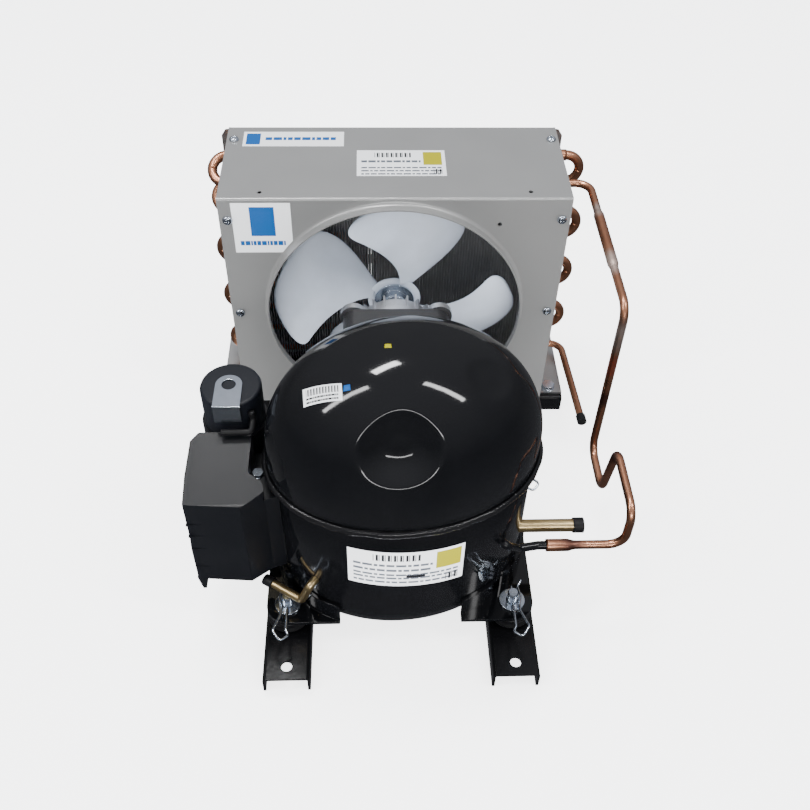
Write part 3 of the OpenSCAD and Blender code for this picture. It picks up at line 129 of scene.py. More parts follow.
class Nodes:
    """Adds nodes to the tree of a material or a world."""

    def __init__(self, tree: bpy.types.NodeTree) -> None:
        """Starts with an empty tree."""
        self.tree = tree
        tree.nodes.clear()

    def make(self, kind: str, settings: dict[str, Any], inputs: dict[Any, Any], out: Any = 0) -> Val:
        """Adds one node.

        Args:
            kind: The node's type.
            settings: Properties that are set first.
            inputs: Values or sockets by input name or number.
            out: Name or number of the output that is wanted.

        Returns:
            That output.
        """
        node = self.tree.nodes.new(kind)
        for name, value in settings.items():
            setattr(node, name, value)
        for name, value in inputs.items():
            self.feed(node.inputs[name], value)
        return Val(self, node.outputs[out])

    def feed(self, socket: bpy.types.NodeSocket, value: Any) -> None:
        """Links a Val to a socket, or sets the socket's own value."""
        if isinstance(value, Val):
            self.tree.links.new(value.socket, socket)
            return
        if isinstance(value, (tuple, list)) and len(socket.default_value) == 4 and len(value) == 3:
            value = (*value, 1.0)
        socket.default_value = value


class Paint(Nodes):
    """Builds one material around a Principled shader."""

    def __init__(self, name: str) -> None:
        """Starts the node tree with its shader and its object coordinates."""
        self.material = bpy.data.materials.new(name)
        self.material.use_nodes = True
        super().__init__(self.material.node_tree)
        self.shader = self.tree.nodes.new("ShaderNodeBsdfPrincipled")
        output = self.tree.nodes.new("ShaderNodeOutputMaterial")
        self.tree.links.new(self.shader.outputs[0], output.inputs[0])
        self.where = self.make("ShaderNodeTexCoord", {}, {}, "Object")

    def noise(self, scale: float, detail: float = 2.0, stretch: Point = (1.0, 1.0, 1.0)) -> Val:
        """Noise over the object, with scale in cells per metre and a stretch along each axis."""
        where = self.make("ShaderNodeMapping", {}, {"Vector": self.where, "Scale": stretch})
        return self.make("ShaderNodeTexNoise", {}, {"Vector": where, "Scale": scale, "Detail": detail})

    def cells(self, scale: float) -> Val:
        """Random grey for each cell of a Voronoi pattern, in cells per metre."""
        tint = self.make("ShaderNodeTexVoronoi", {}, {"Vector": self.where, "Scale": scale}, "Color")
        return self.make("ShaderNodeSeparateColor", {}, {0: tint})

    def axis(self, name: str) -> Val:
        """One object coordinate, X, Y or Z, in metres."""
        return self.make("ShaderNodeSeparateXYZ", {}, {0: self.where}, name)

    def distance(self, place: Point) -> Val:
        """Distance in metres from a point of the part."""
        ends = {0: self.where, 1: tuple(place)}
        return self.make("ShaderNodeVectorMath", {"operation": "DISTANCE"}, ends, "Value")

    def mix(self, factor: Any, a: Any, b: Any) -> Val:
        """Colour that goes from a to b as the factor goes from 0 to 1."""
        return self.make("ShaderNodeMix", {"data_type": "RGBA"}, {0: factor, 6: a, 7: b}, 2)

    def bump(self, height: Any, strength: float, depth: float) -> Val:
        """Normal from a height, with its depth in metres."""
        relief = {"Height": height, "Strength": strength, "Distance": depth}
        return self.make("ShaderNodeBump", {}, relief, "Normal")

    def finish(self, **sockets: Any) -> bpy.types.Material:
        """Sets the shader's sockets, named with underscores for spaces, and returns the material."""
        for name, value in sockets.items():
            self.feed(self.shader.inputs[name.replace("_", " ")], value)
        return self.material


Colour = tuple[float, float, float]


@dataclass(frozen=True)
class Enamel:
    """Sprayed paint over steel: gloss, fine orange peel and a little dust."""

    name: str
    colour: Colour
    roughness: float
    peel: float = 0.08
    peel_scale: float = 260.0
    dust: float = 0.02
    metallic: float = 0.0
    specular: float = 0.4

    def build(self) -> bpy.types.Material:
        """Makes the material."""
        paint = Paint(self.name)
        peel = paint.noise(self.peel_scale, 2.0)
        haze = paint.noise(22.0, 4.0).step(0.35, 0.8)
        specks = paint.noise(1500.0, 1.0).step(0.68, 0.8)
        light = tuple(min(1.0, c + self.dust) for c in self.colour)
        return paint.finish(
            Base_Color=paint.mix(haze * 0.5 + specks * 0.5, self.colour, light),
            Roughness=self.roughness + haze * 0.06 + specks * 0.1,
            Metallic=self.metallic,
            Specular_IOR_Level=self.specular,
            Normal=paint.bump(peel, self.peel, 0.0006),
        )


@dataclass(frozen=True)
class Sheet:
    """Rolled or plated sheet metal with grain along one axis and faint spangle."""

    name: str
    colour: Colour
    roughness: float
    metallic: float = 1.0
    grain: Point = (1.0, 1.0, 12.0)
    spangle: float = 0.05
    spangle_scale: float = 120.0
    stain: float = 0.12

    def build(self) -> bpy.types.Material:
        """Makes the material."""
        paint = Paint(self.name)
        grain = paint.noise(420.0, 3.0, self.grain)
        flakes = paint.cells(self.spangle_scale)
        cloud = paint.noise(16.0, 4.0).step(0.35, 0.75)
        dark = tuple(c * (1.0 - self.stain) for c in self.colour)
        return paint.finish(
            Base_Color=paint.mix(cloud, self.colour, dark),
            Roughness=self.roughness + (grain - 0.5) * 0.14 + (flakes - 0.5) * self.spangle,
            Metallic=self.metallic,
            Normal=paint.bump(grain, 0.1, 0.00015),
        )


@dataclass(frozen=True)
class HeatMark:
    """Place on a copper line that brazing has coloured."""

    place: Point
    radius: float
    colour: Colour


@dataclass(frozen=True)
class Copper:
    """Drawn copper: warm metal with darker oxide clouds, draw marks and heat colours."""

    name: str
    colour: Colour = (0.62, 0.30, 0.18)
    oxide: Colour = (0.28, 0.115, 0.065)
    roughness: float = 0.27
    marks: tuple[HeatMark, ...] = ()

    def build(self) -> bpy.types.Material:
        """Makes the material."""
        paint = Paint(self.name)
        cloud = paint.noise(42.0, 5.0).step(0.42, 0.72)
        fine = paint.noise(900.0, 3.0)
        colour = paint.mix(cloud * 0.75, self.colour, self.oxide)
        dull: Any = cloud * 0.14
        for mark in self.marks:
            near = paint.distance(tuple(placed(mark.place))) + (fine - 0.5) * (mark.radius * MM * 0.4)
            weight = near.step(mark.radius * MM, mark.radius * MM * 0.45)
            colour = paint.mix(weight * 0.85, colour, mark.colour)
            dull = dull + weight * 0.12
        return paint.finish(
            Base_Color=colour,
            Roughness=self.roughness + dull + (fine - 0.5) * 0.08,
            Metallic=1.0,
            Normal=paint.bump(fine, 0.08, 0.0002),
        )


@dataclass(frozen=True)
class Moulding:
    """Moulded plastic or rubber with a fine texture."""

    name: str
    colour: Colour
    roughness: float
    texture: float = 0.15
    texture_scale: float = 1600.0
    specular: float = 0.3

    def build(self) -> bpy.types.Material:
        """Makes the material."""
        paint = Paint(self.name)
        grain = paint.noise(self.texture_scale, 3.0)
        wear = paint.noise(30.0, 4.0).step(0.4, 0.8)
        worn = tuple(c * 1.35 + 0.001 for c in self.colour)
        return paint.finish(
            Base_Color=paint.mix(wear * 0.6, self.colour, worn),
            Roughness=self.roughness + wear * 0.08 + (grain - 0.5) * 0.1,
            Specular_IOR_Level=self.specular,
            Normal=paint.bump(grain, self.texture, 0.0002),
        )


@dataclass(frozen=True)
class CastMetal:
    """Die cast or machined metal with a sandy skin, or stacked sheets seen on edge."""

    name: str
    colour: Colour
    roughness: float
    metallic: float = 1.0
    sand: float = 0.35
    stack_axis: str = ""
    stack_pitch: float = 0.0007

    def build(self) -> bpy.types.Material:
        """Makes the material. Stacked sheets are a sine of the place along one axis."""
        paint = Paint(self.name)
        sand = paint.noise(1400.0, 4.0)
        height: Any = sand
        if self.stack_axis:
            turn = paint.axis(self.stack_axis) * (2 * math.pi / self.stack_pitch)
            height = paint.make("ShaderNodeMath", {"operation": "SINE"}, {0: turn}) * 0.5 + sand * 0.4
        cloud = paint.noise(60.0, 4.0).step(0.35, 0.75)
        dark = tuple(c * 0.78 for c in self.colour)
        return paint.finish(
            Base_Color=paint.mix(cloud, self.colour, dark),
            Roughness=self.roughness + (sand - 0.5) * 0.16,
            Metallic=self.metallic,
            Normal=paint.bump(height, self.sand, 0.0003),
        )


@dataclass(frozen=True)
class Ink:
    """Flat printed colour or paper on a label."""

    name: str
    colour: Colour
    roughness: float = 0.4

    def build(self) -> bpy.types.Material:
        """Makes the material."""
        paint = Paint(self.name)
        fibre = paint.noise(2200.0, 2.0)
        faded = tuple(c * 0.93 for c in self.colour)
        return paint.finish(
            Base_Color=paint.mix(fibre.step(0.4, 0.8), self.colour, faded),
            Roughness=self.roughness + (fibre - 0.5) * 0.1,
            Specular_IOR_Level=0.2,
        )


class Finish(Enum):
    """Every finish of the unit, by the piece of work that it belongs to."""

    SHELL = Enamel("shell enamel", (0.0022, 0.0024, 0.003), 0.06, 0.03, 160.0, 0.003)
    WELD = Enamel("weld enamel", (0.0025, 0.0025, 0.003), 0.14, 0.5, 420.0, 0.008)
    BASE = Enamel("base enamel", (0.0025, 0.0025, 0.003), 0.2, 0.12, 300.0, 0.004, specular=0.3)
    SHROUD = Enamel("shroud paint", (0.33, 0.33, 0.325), 0.34, 0.05, 900.0, 0.02, metallic=0.6)
    GALVANISED = Sheet("galvanised sheet", (0.55, 0.55, 0.54), 0.4, spangle=0.2, spangle_scale=160.0)
    ZINC = Sheet("bright zinc", (0.62, 0.68, 0.76), 0.2, spangle=0.03, stain=0.08)
    STEEL = Sheet("bare steel", (0.48, 0.48, 0.49), 0.3)
    FIN = Sheet("fin sheet", (0.62, 0.62, 0.63), 0.42, 0.35, spangle=0.03, stain=0.3)
    COPPER = Copper("coil copper")
    BRASS = Copper("plated stub", (0.62, 0.47, 0.24), (0.34, 0.24, 0.11), 0.3)
    WIRE = Copper("winding wire", (0.42, 0.15, 0.06), (0.2, 0.07, 0.03), 0.35)
    ALUMINIUM = CastMetal("die casting", (0.66, 0.67, 0.69), 0.42)
    IRON = CastMetal("stacked iron", (0.02, 0.02, 0.022), 0.4, 0.3, 0.4, "Y")
    GREY_IRON = CastMetal("grey iron", (0.12, 0.12, 0.12), 0.5, 0.8)
    FAN = Moulding("fan plastic", (0.50, 0.55, 0.63), 0.36, 0.05, 700.0, 0.4)
    PLASTIC = Moulding("black moulding", (0.0028, 0.0032, 0.0045), 0.36, 0.16, 1400.0)
    CASE = Moulding("capacitor case", (0.0045, 0.0055, 0.0085), 0.4, 0.1, 1200.0)
    CREAM = Moulding("phenolic", (0.6, 0.55, 0.42), 0.45)
    RUBBER = Moulding("rubber", (0.0035, 0.0035, 0.004), 0.45, 0.2, 900.0)
    PAPER = Ink("label paper", (0.82, 0.83, 0.84), 0.3)
    INK = Ink("label ink", (0.008, 0.008, 0.01))
    GREY_INK = Ink("label grey", (0.09, 0.10, 0.12))
    BLUE_INK = Ink("label blue", (0.004, 0.075, 0.27))
    YELLOW_INK = Ink("label yellow", (0.33, 0.3, 0.0))


MATERIALS: dict[str, bpy.types.Material] = {}


def material(finish: Any) -> bpy.types.Material:
    """The material of a finish, made once."""
    recipe = finish.value if isinstance(finish, Finish) else finish
    if recipe.name not in MATERIALS:
        MATERIALS[recipe.name] = recipe.build()
    return MATERIALS[recipe.name]


# Surfaces


def grid_faces(rows: int, columns: int, wrap: bool) -> Array:
    """Quads between neighbours of a grid of points.

    Args:
        rows: Number of rows.
        columns: Number of points in a row.
        wrap: True if each row closes on itself.

    Returns:
        One row of four point numbers for each quad.
    """
    across = columns if wrap else columns - 1
    i, j = np.meshgrid(np.arange(rows - 1), np.arange(across), indexing="ij")
    k = (j + 1) % columns
    low, high = i * columns, (i + 1) * columns
    return np.stack([low + j, low + k, high + k, high + j], axis=-1).reshape(-1, 4)


def linked(name: str, data: Any) -> Thing:
    """Makes an object of a mesh, a lamp or a camera and adds it to the scene."""
    thing = bpy.data.objects.new(name, data)
    bpy.context.scene.collection.objects.link(thing)
    return thing


def sheet_quads(rows: int, columns: int) -> Array:
    """Faces of a thin closed sheet.

    Args:
        rows: Rows of points on each side.
        columns: Points in a row.

    Returns:
        Quads over a grid of points for the back, one for the front after it, and the rim between them.
    """
    face = grid_faces(rows, columns, False)
    n = rows * columns
    low, high = np.arange(columns), (rows - 1) * columns + np.arange(columns - 2, -1, -1)
    left, right = np.arange(rows - 2, 0, -1) * columns, np.arange(1, rows) * columns + columns - 1
    edge = np.concatenate([low, right, high, left])
    after = np.roll(edge, -1)
    return np.concatenate([face[:, ::-1], face + n, np.stack([edge, after, after + n, edge + n], axis=-1)])


def mesh_object(name: str, points: Array, quads: Array, fans: Iterable[Sequence[int]] = ()) -> Thing:
    """Makes an object from points in metres, quads and a few other faces."""
    mesh = bpy.data.meshes.new(name)
    mesh.from_pydata(points.reshape(-1, 3).tolist(), [], quads.tolist() + [list(face) for face in fans])
    mesh.update()
    return linked(name, mesh)


def outward(thing: Thing) -> Thing:
    """Turns the faces of a closed mesh outwards and shades it smooth."""
    work = bmesh.new()
    work.from_mesh(thing.data)
    bmesh.ops.recalc_face_normals(work, faces=work.faces)
    work.to_mesh(thing.data)
    work.free()
    thing.data.shade_smooth()
    return thing


def ring_stack(name: str, rings: Array) -> Thing:
    """Closed solid through a stack of rings, with a flat many sided face at each end.

    Args:
        name: The object's name.
        rings: Array of rings by points by x, y and z, in metres.

    Returns:
        The object.
    """
    count, around = rings.shape[:2]
    ends = [list(range(around)), list(range((count - 1) * around, count * around))]
    return outward(mesh_object(name, rings, grid_faces(count, around, True), ends))


def route(points: Sequence[Point], radius: float, steps: int = 8) -> Array:
    """Centre line with round corners.

    Each corner is an arc that leaves the first leg and joins the second at a distance of the radius times
    the tangent of half the turn.

    Args:
        points: Corner points in millimetres.
        radius: Bend radius in millimetres.
        steps: Steps to a bend.

    Returns:
        Points along the line.
    """
    corners = np.asarray(points, dtype=float)
    legs = np.diff(corners, axis=0)
    legs /= np.linalg.norm(legs, axis=1, keepdims=True)
    line = [corners[:1]]
    for i in range(1, len(corners) - 1):
        u, v = legs[i - 1], legs[i]
        turn = math.acos(float(np.clip(u @ v, -1.0, 1.0)))
        side = v - (u @ v) * u
        side /= np.linalg.norm(side)
        start = corners[i] - u * radius * math.tan(turn / 2)
        angle = np.linspace(0.0, turn, steps + 1)[:, None]
        line.append(start + side * radius + radius * (u * np.sin(angle) - side * np.cos(angle)))
    line.append(corners[-1:])
    return np.concatenate(line)


def along(line: Array, step: float) -> Array:
    """The same line with points no further apart than a step, and its corners kept."""
    gaps = np.linalg.norm(np.diff(line, axis=0), axis=1)
    parts = [
        a + (b - a) * np.linspace(0.0, 1.0, max(1, int(math.ceil(gap / step))), endpoint=False)[:, None]
        for a, b, gap in zip(line[:-1], line[1:], gaps)
    ]
    return np.concatenate(parts + [line[-1:]])


def hoops(line: Array, radii: Array, sides: int) -> Array:
    """Rings round a line that don't twist.

    Each side direction is the last one, less its part along the line.

    Args:
        line: Points along the line.
        radii: Radius of the ring at each point.
        sides: Points round a ring.

    Returns:
        Rings by points by x, y and z.
    """
    ahead = np.gradient(line, axis=0)
    ahead /= np.linalg.norm(ahead, axis=1, keepdims=True)
    start = np.cross(ahead[0], [0.0, 0.0, 1.0] if abs(ahead[0][2]) < 0.9 else [1.0, 0.0, 0.0])
    side = np.empty_like(line)
    side[0] = start / np.linalg.norm(start)
    for i in range(1, len(line)):
        turned = side[i - 1] - (side[i - 1] @ ahead[i]) * ahead[i]
        side[i] = turned / np.linalg.norm(turned)
    up = np.cross(ahead, side)
    angle = np.linspace(0.0, 2 * math.pi, sides, endpoint=False)
    turn = side[:, None, :] * np.cos(angle)[None, :, None] + up[:, None, :] * np.sin(angle)[None, :, None]
    return line[:, None, :] + turn * radii[:, None, None]


def pipe(name: str, points: Sequence[Point], bend: float, radius: float, sides: int = 20, step: float = 2.5,
         swell: Field | None = None) -> Thing:
    """Round tube or wire along a route, with closed ends.

    Args:
        name: The object's name.
        points: Corner points in millimetres.
        bend: Bend radius in millimetres.
        radius: Radius in millimetres.
        sides: Points round the tube.
        step: Longest step along it, in millimetres.
        swell: Optional function of the line and the distance along it that gives the radius.

    Returns:
        The object.
    """
    line = along(route(points, bend) if len(points) > 2 else np.asarray(points, dtype=float), step)
    run = np.concatenate([[0.0], np.cumsum(np.linalg.norm(np.diff(line, axis=0), axis=1))])
    radii = swell(line, run) if swell else np.full(len(line), float(radius))
    return ring_stack(name, placed(hoops(line, radii, sides)))


def joined(name: str, things: Sequence[Thing]) -> Thing:
    """Joins several objects into one mesh, each keeping its material."""
    work = bmesh.new()
    materials: list[bpy.types.Material] = []
    for thing in things:
        start = len(work.faces)
        offset = len(materials)
        work.from_mesh(thing.data)
        work.faces.ensure_lookup_table()
        for face in work.faces[start:]:
            face.material_index += offset
        materials.extend(thing.data.materials)
        bpy.data.objects.remove(thing)
    whole = linked(name, bpy.data.meshes.new(name))
    work.to_mesh(whole.data)
    work.free()
    for item in materials:
        whole.data.materials.append(item)
    return whole


def dress(thing: Thing, finish: Any, slot: str, *nodes: str, body: str = CHASSIS) -> None:
    """Gives a piece its finish, sets it on a body and hides what it stands for.

    Args:
        thing: The piece.
        finish: Its finish, or None if it has its materials already.
        slot: Its material slot; not used.
        nodes: The CAD nodes that it stands for.
        body: The body that it rides on.
    """
    if finish is not None:
        thing.data.materials.clear()
        thing.data.materials.append(material(finish))
    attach(thing, body)
    if nodes:
        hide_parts(*nodes)
    log.info("%s rides on %s for %s", thing.name, body, ", ".join(nodes) or "nothing")


def softened(node: str, finish: Any, slot: str, width: float, sharp: float = 38.0, body: str = CHASSIS) -> None:
    """Stands in for a CAD node with the same form and narrow round edges.

    Loose triangles are merged first and flat faces joined, so that only real edges are rounded.

    Args:
        node: The CAD node.
        finish: Its finish.
        slot: Its material slot.
        width: Width of the round edges in millimetres.
        sharp: Edges that turn by more than this many degrees are rounded.
        body: The body that it rides on.
    """
    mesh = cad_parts[node].data.copy()
    mesh.name = node + "_dressed"
    work = bmesh.new()
    work.from_mesh(mesh)
    bmesh.ops.remove_doubles(work, verts=work.verts, dist=0.002 * MM)
    bmesh.ops.dissolve_limit(work, angle_limit=math.radians(0.8), verts=work.verts, edges=work.edges)
    work.to_mesh(mesh)
    work.free()
    thing = linked(node + "_dressed", mesh)
    edge = thing.modifiers.new("edge", "BEVEL")
    edge.width = width * MM
    edge.segments = 2
    edge.limit_method = "ANGLE"
    edge.angle_limit = math.radians(sharp)
    edge.use_clamp_overlap = True
    mesh.shade_smooth()
    thing.modifiers.new("normals", "WEIGHTED_NORMAL").keep_sharp = False
    dress(thing, finish, slot, node, body=body)


# The compressor

SHELL_X, SHELL_Y, SHELL_TURN = 2.0, -172.7, math.radians(7.5)


def in_compressor(points: Any) -> Array:
    """Turns points of the compressor's own frame, its long axis along x, into sketch points."""
    p = np.asarray(points, dtype=float)
    x = SHELL_X + p[..., 0] * math.cos(SHELL_TURN) - p[..., 1] * math.sin(SHELL_TURN)
    y = SHELL_Y + p[..., 0] * math.sin(SHELL_TURN) + p[..., 1] * math.cos(SHELL_TURN)
    return np.stack([x, y, p[..., 2]], axis=-1)


@dataclass(frozen=True)
class Dimple:
    """Pressed hollow in the dome: its direction and elevation, half sizes in degrees, and depth."""

    direction: float
    half_width: float
    elevation: float
    half_height: float
    depth: float

    def share(self, direction: Array, elevation: Array) -> Array:
        """Share of the depth at a place.

        With q the squared distance from the middle in half sizes, it is (1 - q) squared times (1 + 2 q),
        and nothing beyond q = 1.
        """
        off = (direction - self.direction + 180.0) % 360.0 - 180.0
        q = (off / self.half_width) ** 2 + ((elevation - self.elevation) / self.half_height) ** 2
        return np.where(q < 1.0, (1.0 - q) ** 2 * (3.0 - 2.0 * (1.0 - q)), 0.0)


@dataclass
class Compressor:
    """Sealed shell of the compressor with its weld, feet, studs and clips."""

    half_length: float = 94.0
    half_depth: float = 71.0
    wall: float = 3.0
    lap_gap: float = 0.3
    rolled_r: float = 0.9
    floor_z: float = 20.0
    floor_r: float = 25.0
    lower_top: float = 154.0
    seam_z: float = 146.0
    skirt_z: float = 162.0
    dome_z: float = 245.0
    power: float = 2.1
    around: int = 288
    dimples: tuple[Dimple, ...] = (Dimple(-99.5, 21.0, 36.0, 20.0, 15.0), Dimple(-30.0, 20.0, 54.0, 12.0, 4.0))

    def directions(self) -> Array:
        """Directions of the columns in degrees. A third of them lie within 51 degrees round the scoop."""
        near = np.linspace(-125.0, -74.0, self.around // 3, endpoint=False)
        rest = np.linspace(-74.0, 235.0, self.around - len(near), endpoint=False)
        return np.concatenate([near, rest])

    def dome(self, a: float, b: float, top: float, elevations: Array) -> Array:
        """Rings of the dome.

        A ring at elevation e is an ellipse whose half axes are a and b times cos(e) to the power 2 / 2.1,
        and its height rises with sin(e) to the same power. The dimples draw it inwards along that
        direction.

        Args:
            a: Half length.
            b: Half depth.
            top: Height of the top.
            elevations: Elevations in degrees.

        Returns:
            Rings by points by coordinates in the compressor's frame.
        """
        e = np.radians(elevations)[:, None]
        t = self.directions()[None, :]
        depth = sum(d.depth * d.share(t, np.degrees(e)) for d in self.dimples)
        c, s = np.cos(e) ** (2 / self.power), np.sin(e) ** (2 / self.power)
        x = a * c * (1 - depth * np.cos(e) / a) * np.cos(np.radians(t))
        y = b * c * (1 - depth * np.cos(e) / b) * np.sin(np.radians(t))
        z = self.skirt_z + (top - self.skirt_z) * s - depth * np.sin(e) / 2
        return np.stack(np.broadcast_arrays(x, y, z), axis=-1)

    def level(self, a: float, b: float, z: float) -> Array:
        """One flat elliptical ring."""
        t = np.radians(self.directions())
        return np.stack([a * np.cos(t), b * np.sin(t), np.full_like(t, z)], axis=-1)[None]

    def upper_shell(self) -> None:
        """Drawn dome with its pressed scoop and flat, over a skirt with a rolled lower edge."""
        a, b = self.half_length, self.half_depth
        bore = (a - self.wall + self.lap_gap, b - self.wall + self.lap_gap)
        rim = []
        for k in np.linspace(0.0, math.pi / 2, 5):
            inset, rise = self.rolled_r * (1 - math.sin(k)), self.rolled_r * (1 - math.cos(k))
            rim.append(self.level(a - inset, b - inset, self.seam_z + rise))
        rings = np.concatenate([self.dome(*bore, self.dome_z - self.wall, np.linspace(88.0, 6.0, 14)),
                                self.level(*bore, self.skirt_z), self.level(*bore, self.seam_z), *rim,
                                self.level(a, b, self.skirt_z - self.wall), self.level(a, b, self.skirt_z),
                                self.dome(a, b, self.dome_z, np.linspace(0.4, 89.0, 110))])
        thing = ring_stack("upper_shell", placed(in_compressor(rings)))
        dress(thing, Finish.SHELL, "shell_paint", "compressor_upper_shell")

    def lower_shell(self) -> None:
        """Deep drawn cup with a round edge below, hollow and open above."""
        a, b, w, r = self.half_length - self.wall, self.half_depth - self.wall, self.wall, self.floor_r
        middle_r, straight_z = 2.0, 100.0
        k = np.linspace(math.pi / 2, 0.0, 20)
        out = [(a - r + r * math.cos(q), self.floor_z + r - r * math.sin(q)) for q in k]
        inside = [(a - r + (r - w) * math.cos(q), self.floor_z + r - (r - w) * math.sin(q)) for q in k]
        top = [(a, straight_z), (a, self.lower_top), (a - w, self.lower_top)]
        profile = [(middle_r, self.floor_z), *out, *top, *inside[::-1], (middle_r, self.floor_z + w)]
        rings = np.concatenate([self.level(q, q * b / a, z) for q, z in profile])
        thing = ring_stack("lower_shell", placed(in_compressor(rings)))
        dress(thing, Finish.SHELL, "shell_paint", "compressor_lower_shell")

    def bead(self) -> None:
        """Weld round the seam: a rounded band whose face ripples with the weld pool and sags here and there.

        The ripple is a sum of sines of the direction with 17, 29, 97 and 181 waves round the shell.
        """
        t = np.linspace(0.0, 2 * math.pi, 900, endpoint=False)[:, None]
        section = np.array([[0.1, -5.9], [1.4, -5.7], [3.2, -4.6], [4.8, -2.6], [5.8, -0.4], [5.9, 1.2],
                            [5.0, 2.6], [3.1, 3.5], [3.1, 0.0], [0.1, 0.0]])
        free = np.array([0.0, 0.5, 1.0, 1.0, 1.0, 0.7, 0.4, 0.0, 0.0, 0.0])
        slow = np.sin(17 * t) * 0.22 + np.sin(29 * t + 1.0) * np.cos(5 * t) * 0.22
        pool = np.abs(np.sin(97 * t + section[None, :, 1] * 0.35)) * 0.34 + np.sin(181 * t) * 0.08 - 0.25
        out = section[None, :, 0] + free[None, :] * (slow + pool)
        low = self.seam_z + section[None, :, 1] + free[None, :] * np.sin(41 * t + 0.6) * 0.22
        x = (self.half_length - self.wall + out) * np.cos(t)
        y = (self.half_depth - self.wall + out) * np.sin(t)
        points = np.stack([x, y, np.broadcast_to(low, x.shape)], axis=-1)
        quads = grid_faces(len(t) + 1, len(section), True) % (len(t) * len(section))
        thing = outward(mesh_object("weld_bead", placed(in_compressor(points)), quads))
        dress(thing, Finish.WELD, "shell_paint", "shell_weld_bead")

    def feet(self) -> None:
        """Foot brackets, grommets, washers and studs, with their edges broken."""
        for side in ("left", "right"):
            softened("foot_bracket_" + side, Finish.SHELL, "shell_paint", 0.5)
        softened("rubber_grommets", Finish.RUBBER, "rubber", 0.6)
        softened("stud_washers", Finish.ZINC, "zinc", 0.3)
        softened("mounting_studs", Finish.ZINC, "zinc", 0.3)

    def clips(self) -> None:
        """Spring clips of round wire through the studs, the front pair pointing forward and the rear outward."""
        stud_x, stud_y, hole_z = 82.55, (-223.5, -121.9), 37.0
        w, leg, eye = 5.05, 20.0, 4.0
        e = -leg - eye
        shape = [(0.0, 9.6), (0.0, e), (-eye / 2, e - eye), (eye, e - 2.4 * eye), (2.4 * eye, e - eye / 2),
                 (eye / 2 + w / 2, -leg / 1.6), (w * 0.9, -8.0), (w + 1.0, 0.0), (w * 0.9, 8.0), (w * 1.6, 12.8)]
        tilt = math.radians(20.0)
        parts = []
        for x in (-1, 1):
            for i, y in enumerate(stud_y):
                points = []
                for p, q in shape:
                    flat_p = p * math.cos(tilt)
                    u, v = (x * flat_p, q) if i == 0 else (-x * q, flat_p)
                    points.append((x * stud_x + u, y + v, hole_z + p * math.sin(tilt)))
                parts.append(pipe("clip", points, 2.5, 0.97, 12, 1.5))
        dress(joined("spring_clips", parts), Finish.ZINC, "zinc", "hairpin_clips")

    def build(self) -> None:
        """Makes the compressor."""
        self.upper_shell()
        self.lower_shell()
        self.bead()
        self.feet()
        self.clips()
        softened("hermetic_terminal", Finish.BASE, "shell_paint", 0.2)


# Copper lines


STUB_Y, STUB_Z, LINE_X = -208.0, 80.0, 160.0
LINE_TOP = 205.2
COIL_ROWS = (61.0, 83.0)
FIRST_TUBE, PITCH = 27.4, 25.4
PLATE_X, SOCKET_X = 134.0, 142.0

BRAZE = (0.60, 0.50, 0.44)
SCALE = (0.10, 0.045, 0.04)
ROSE = (0.62, 0.16, 0.10)


# Heat colours near the brazed joints of the discharge line: place, radius and colour
LINE_COPPER = Copper("line copper", marks=tuple(HeatMark(*mark) for mark in (
    ((LINE_X, -46.0, LINE_TOP), 17.0, BRAZE),
    ((LINE_X, 20.0, LINE_TOP), 12.0, BRAZE),
    ((LINE_X, -96.0, 180.0), 20.0, BRAZE),
    ((LINE_X, -96.0, 150.0), 14.0, ROSE),
    ((LINE_X, -96.0, 116.0), 12.0, SCALE),
    ((LINE_X, -150.0, 112.0), 12.0, SCALE),
    ((122.0, STUB_Y, STUB_Z), 13.0, SCALE),
)))
# Darker scale near the brazed sockets on the right of the coil
JOINT_COPPER = Copper("joint copper", marks=tuple(
    HeatMark((141.0, COIL_ROWS[0], FIRST_TUBE + PITCH * k), 9.0, SCALE) for k in range(8)))


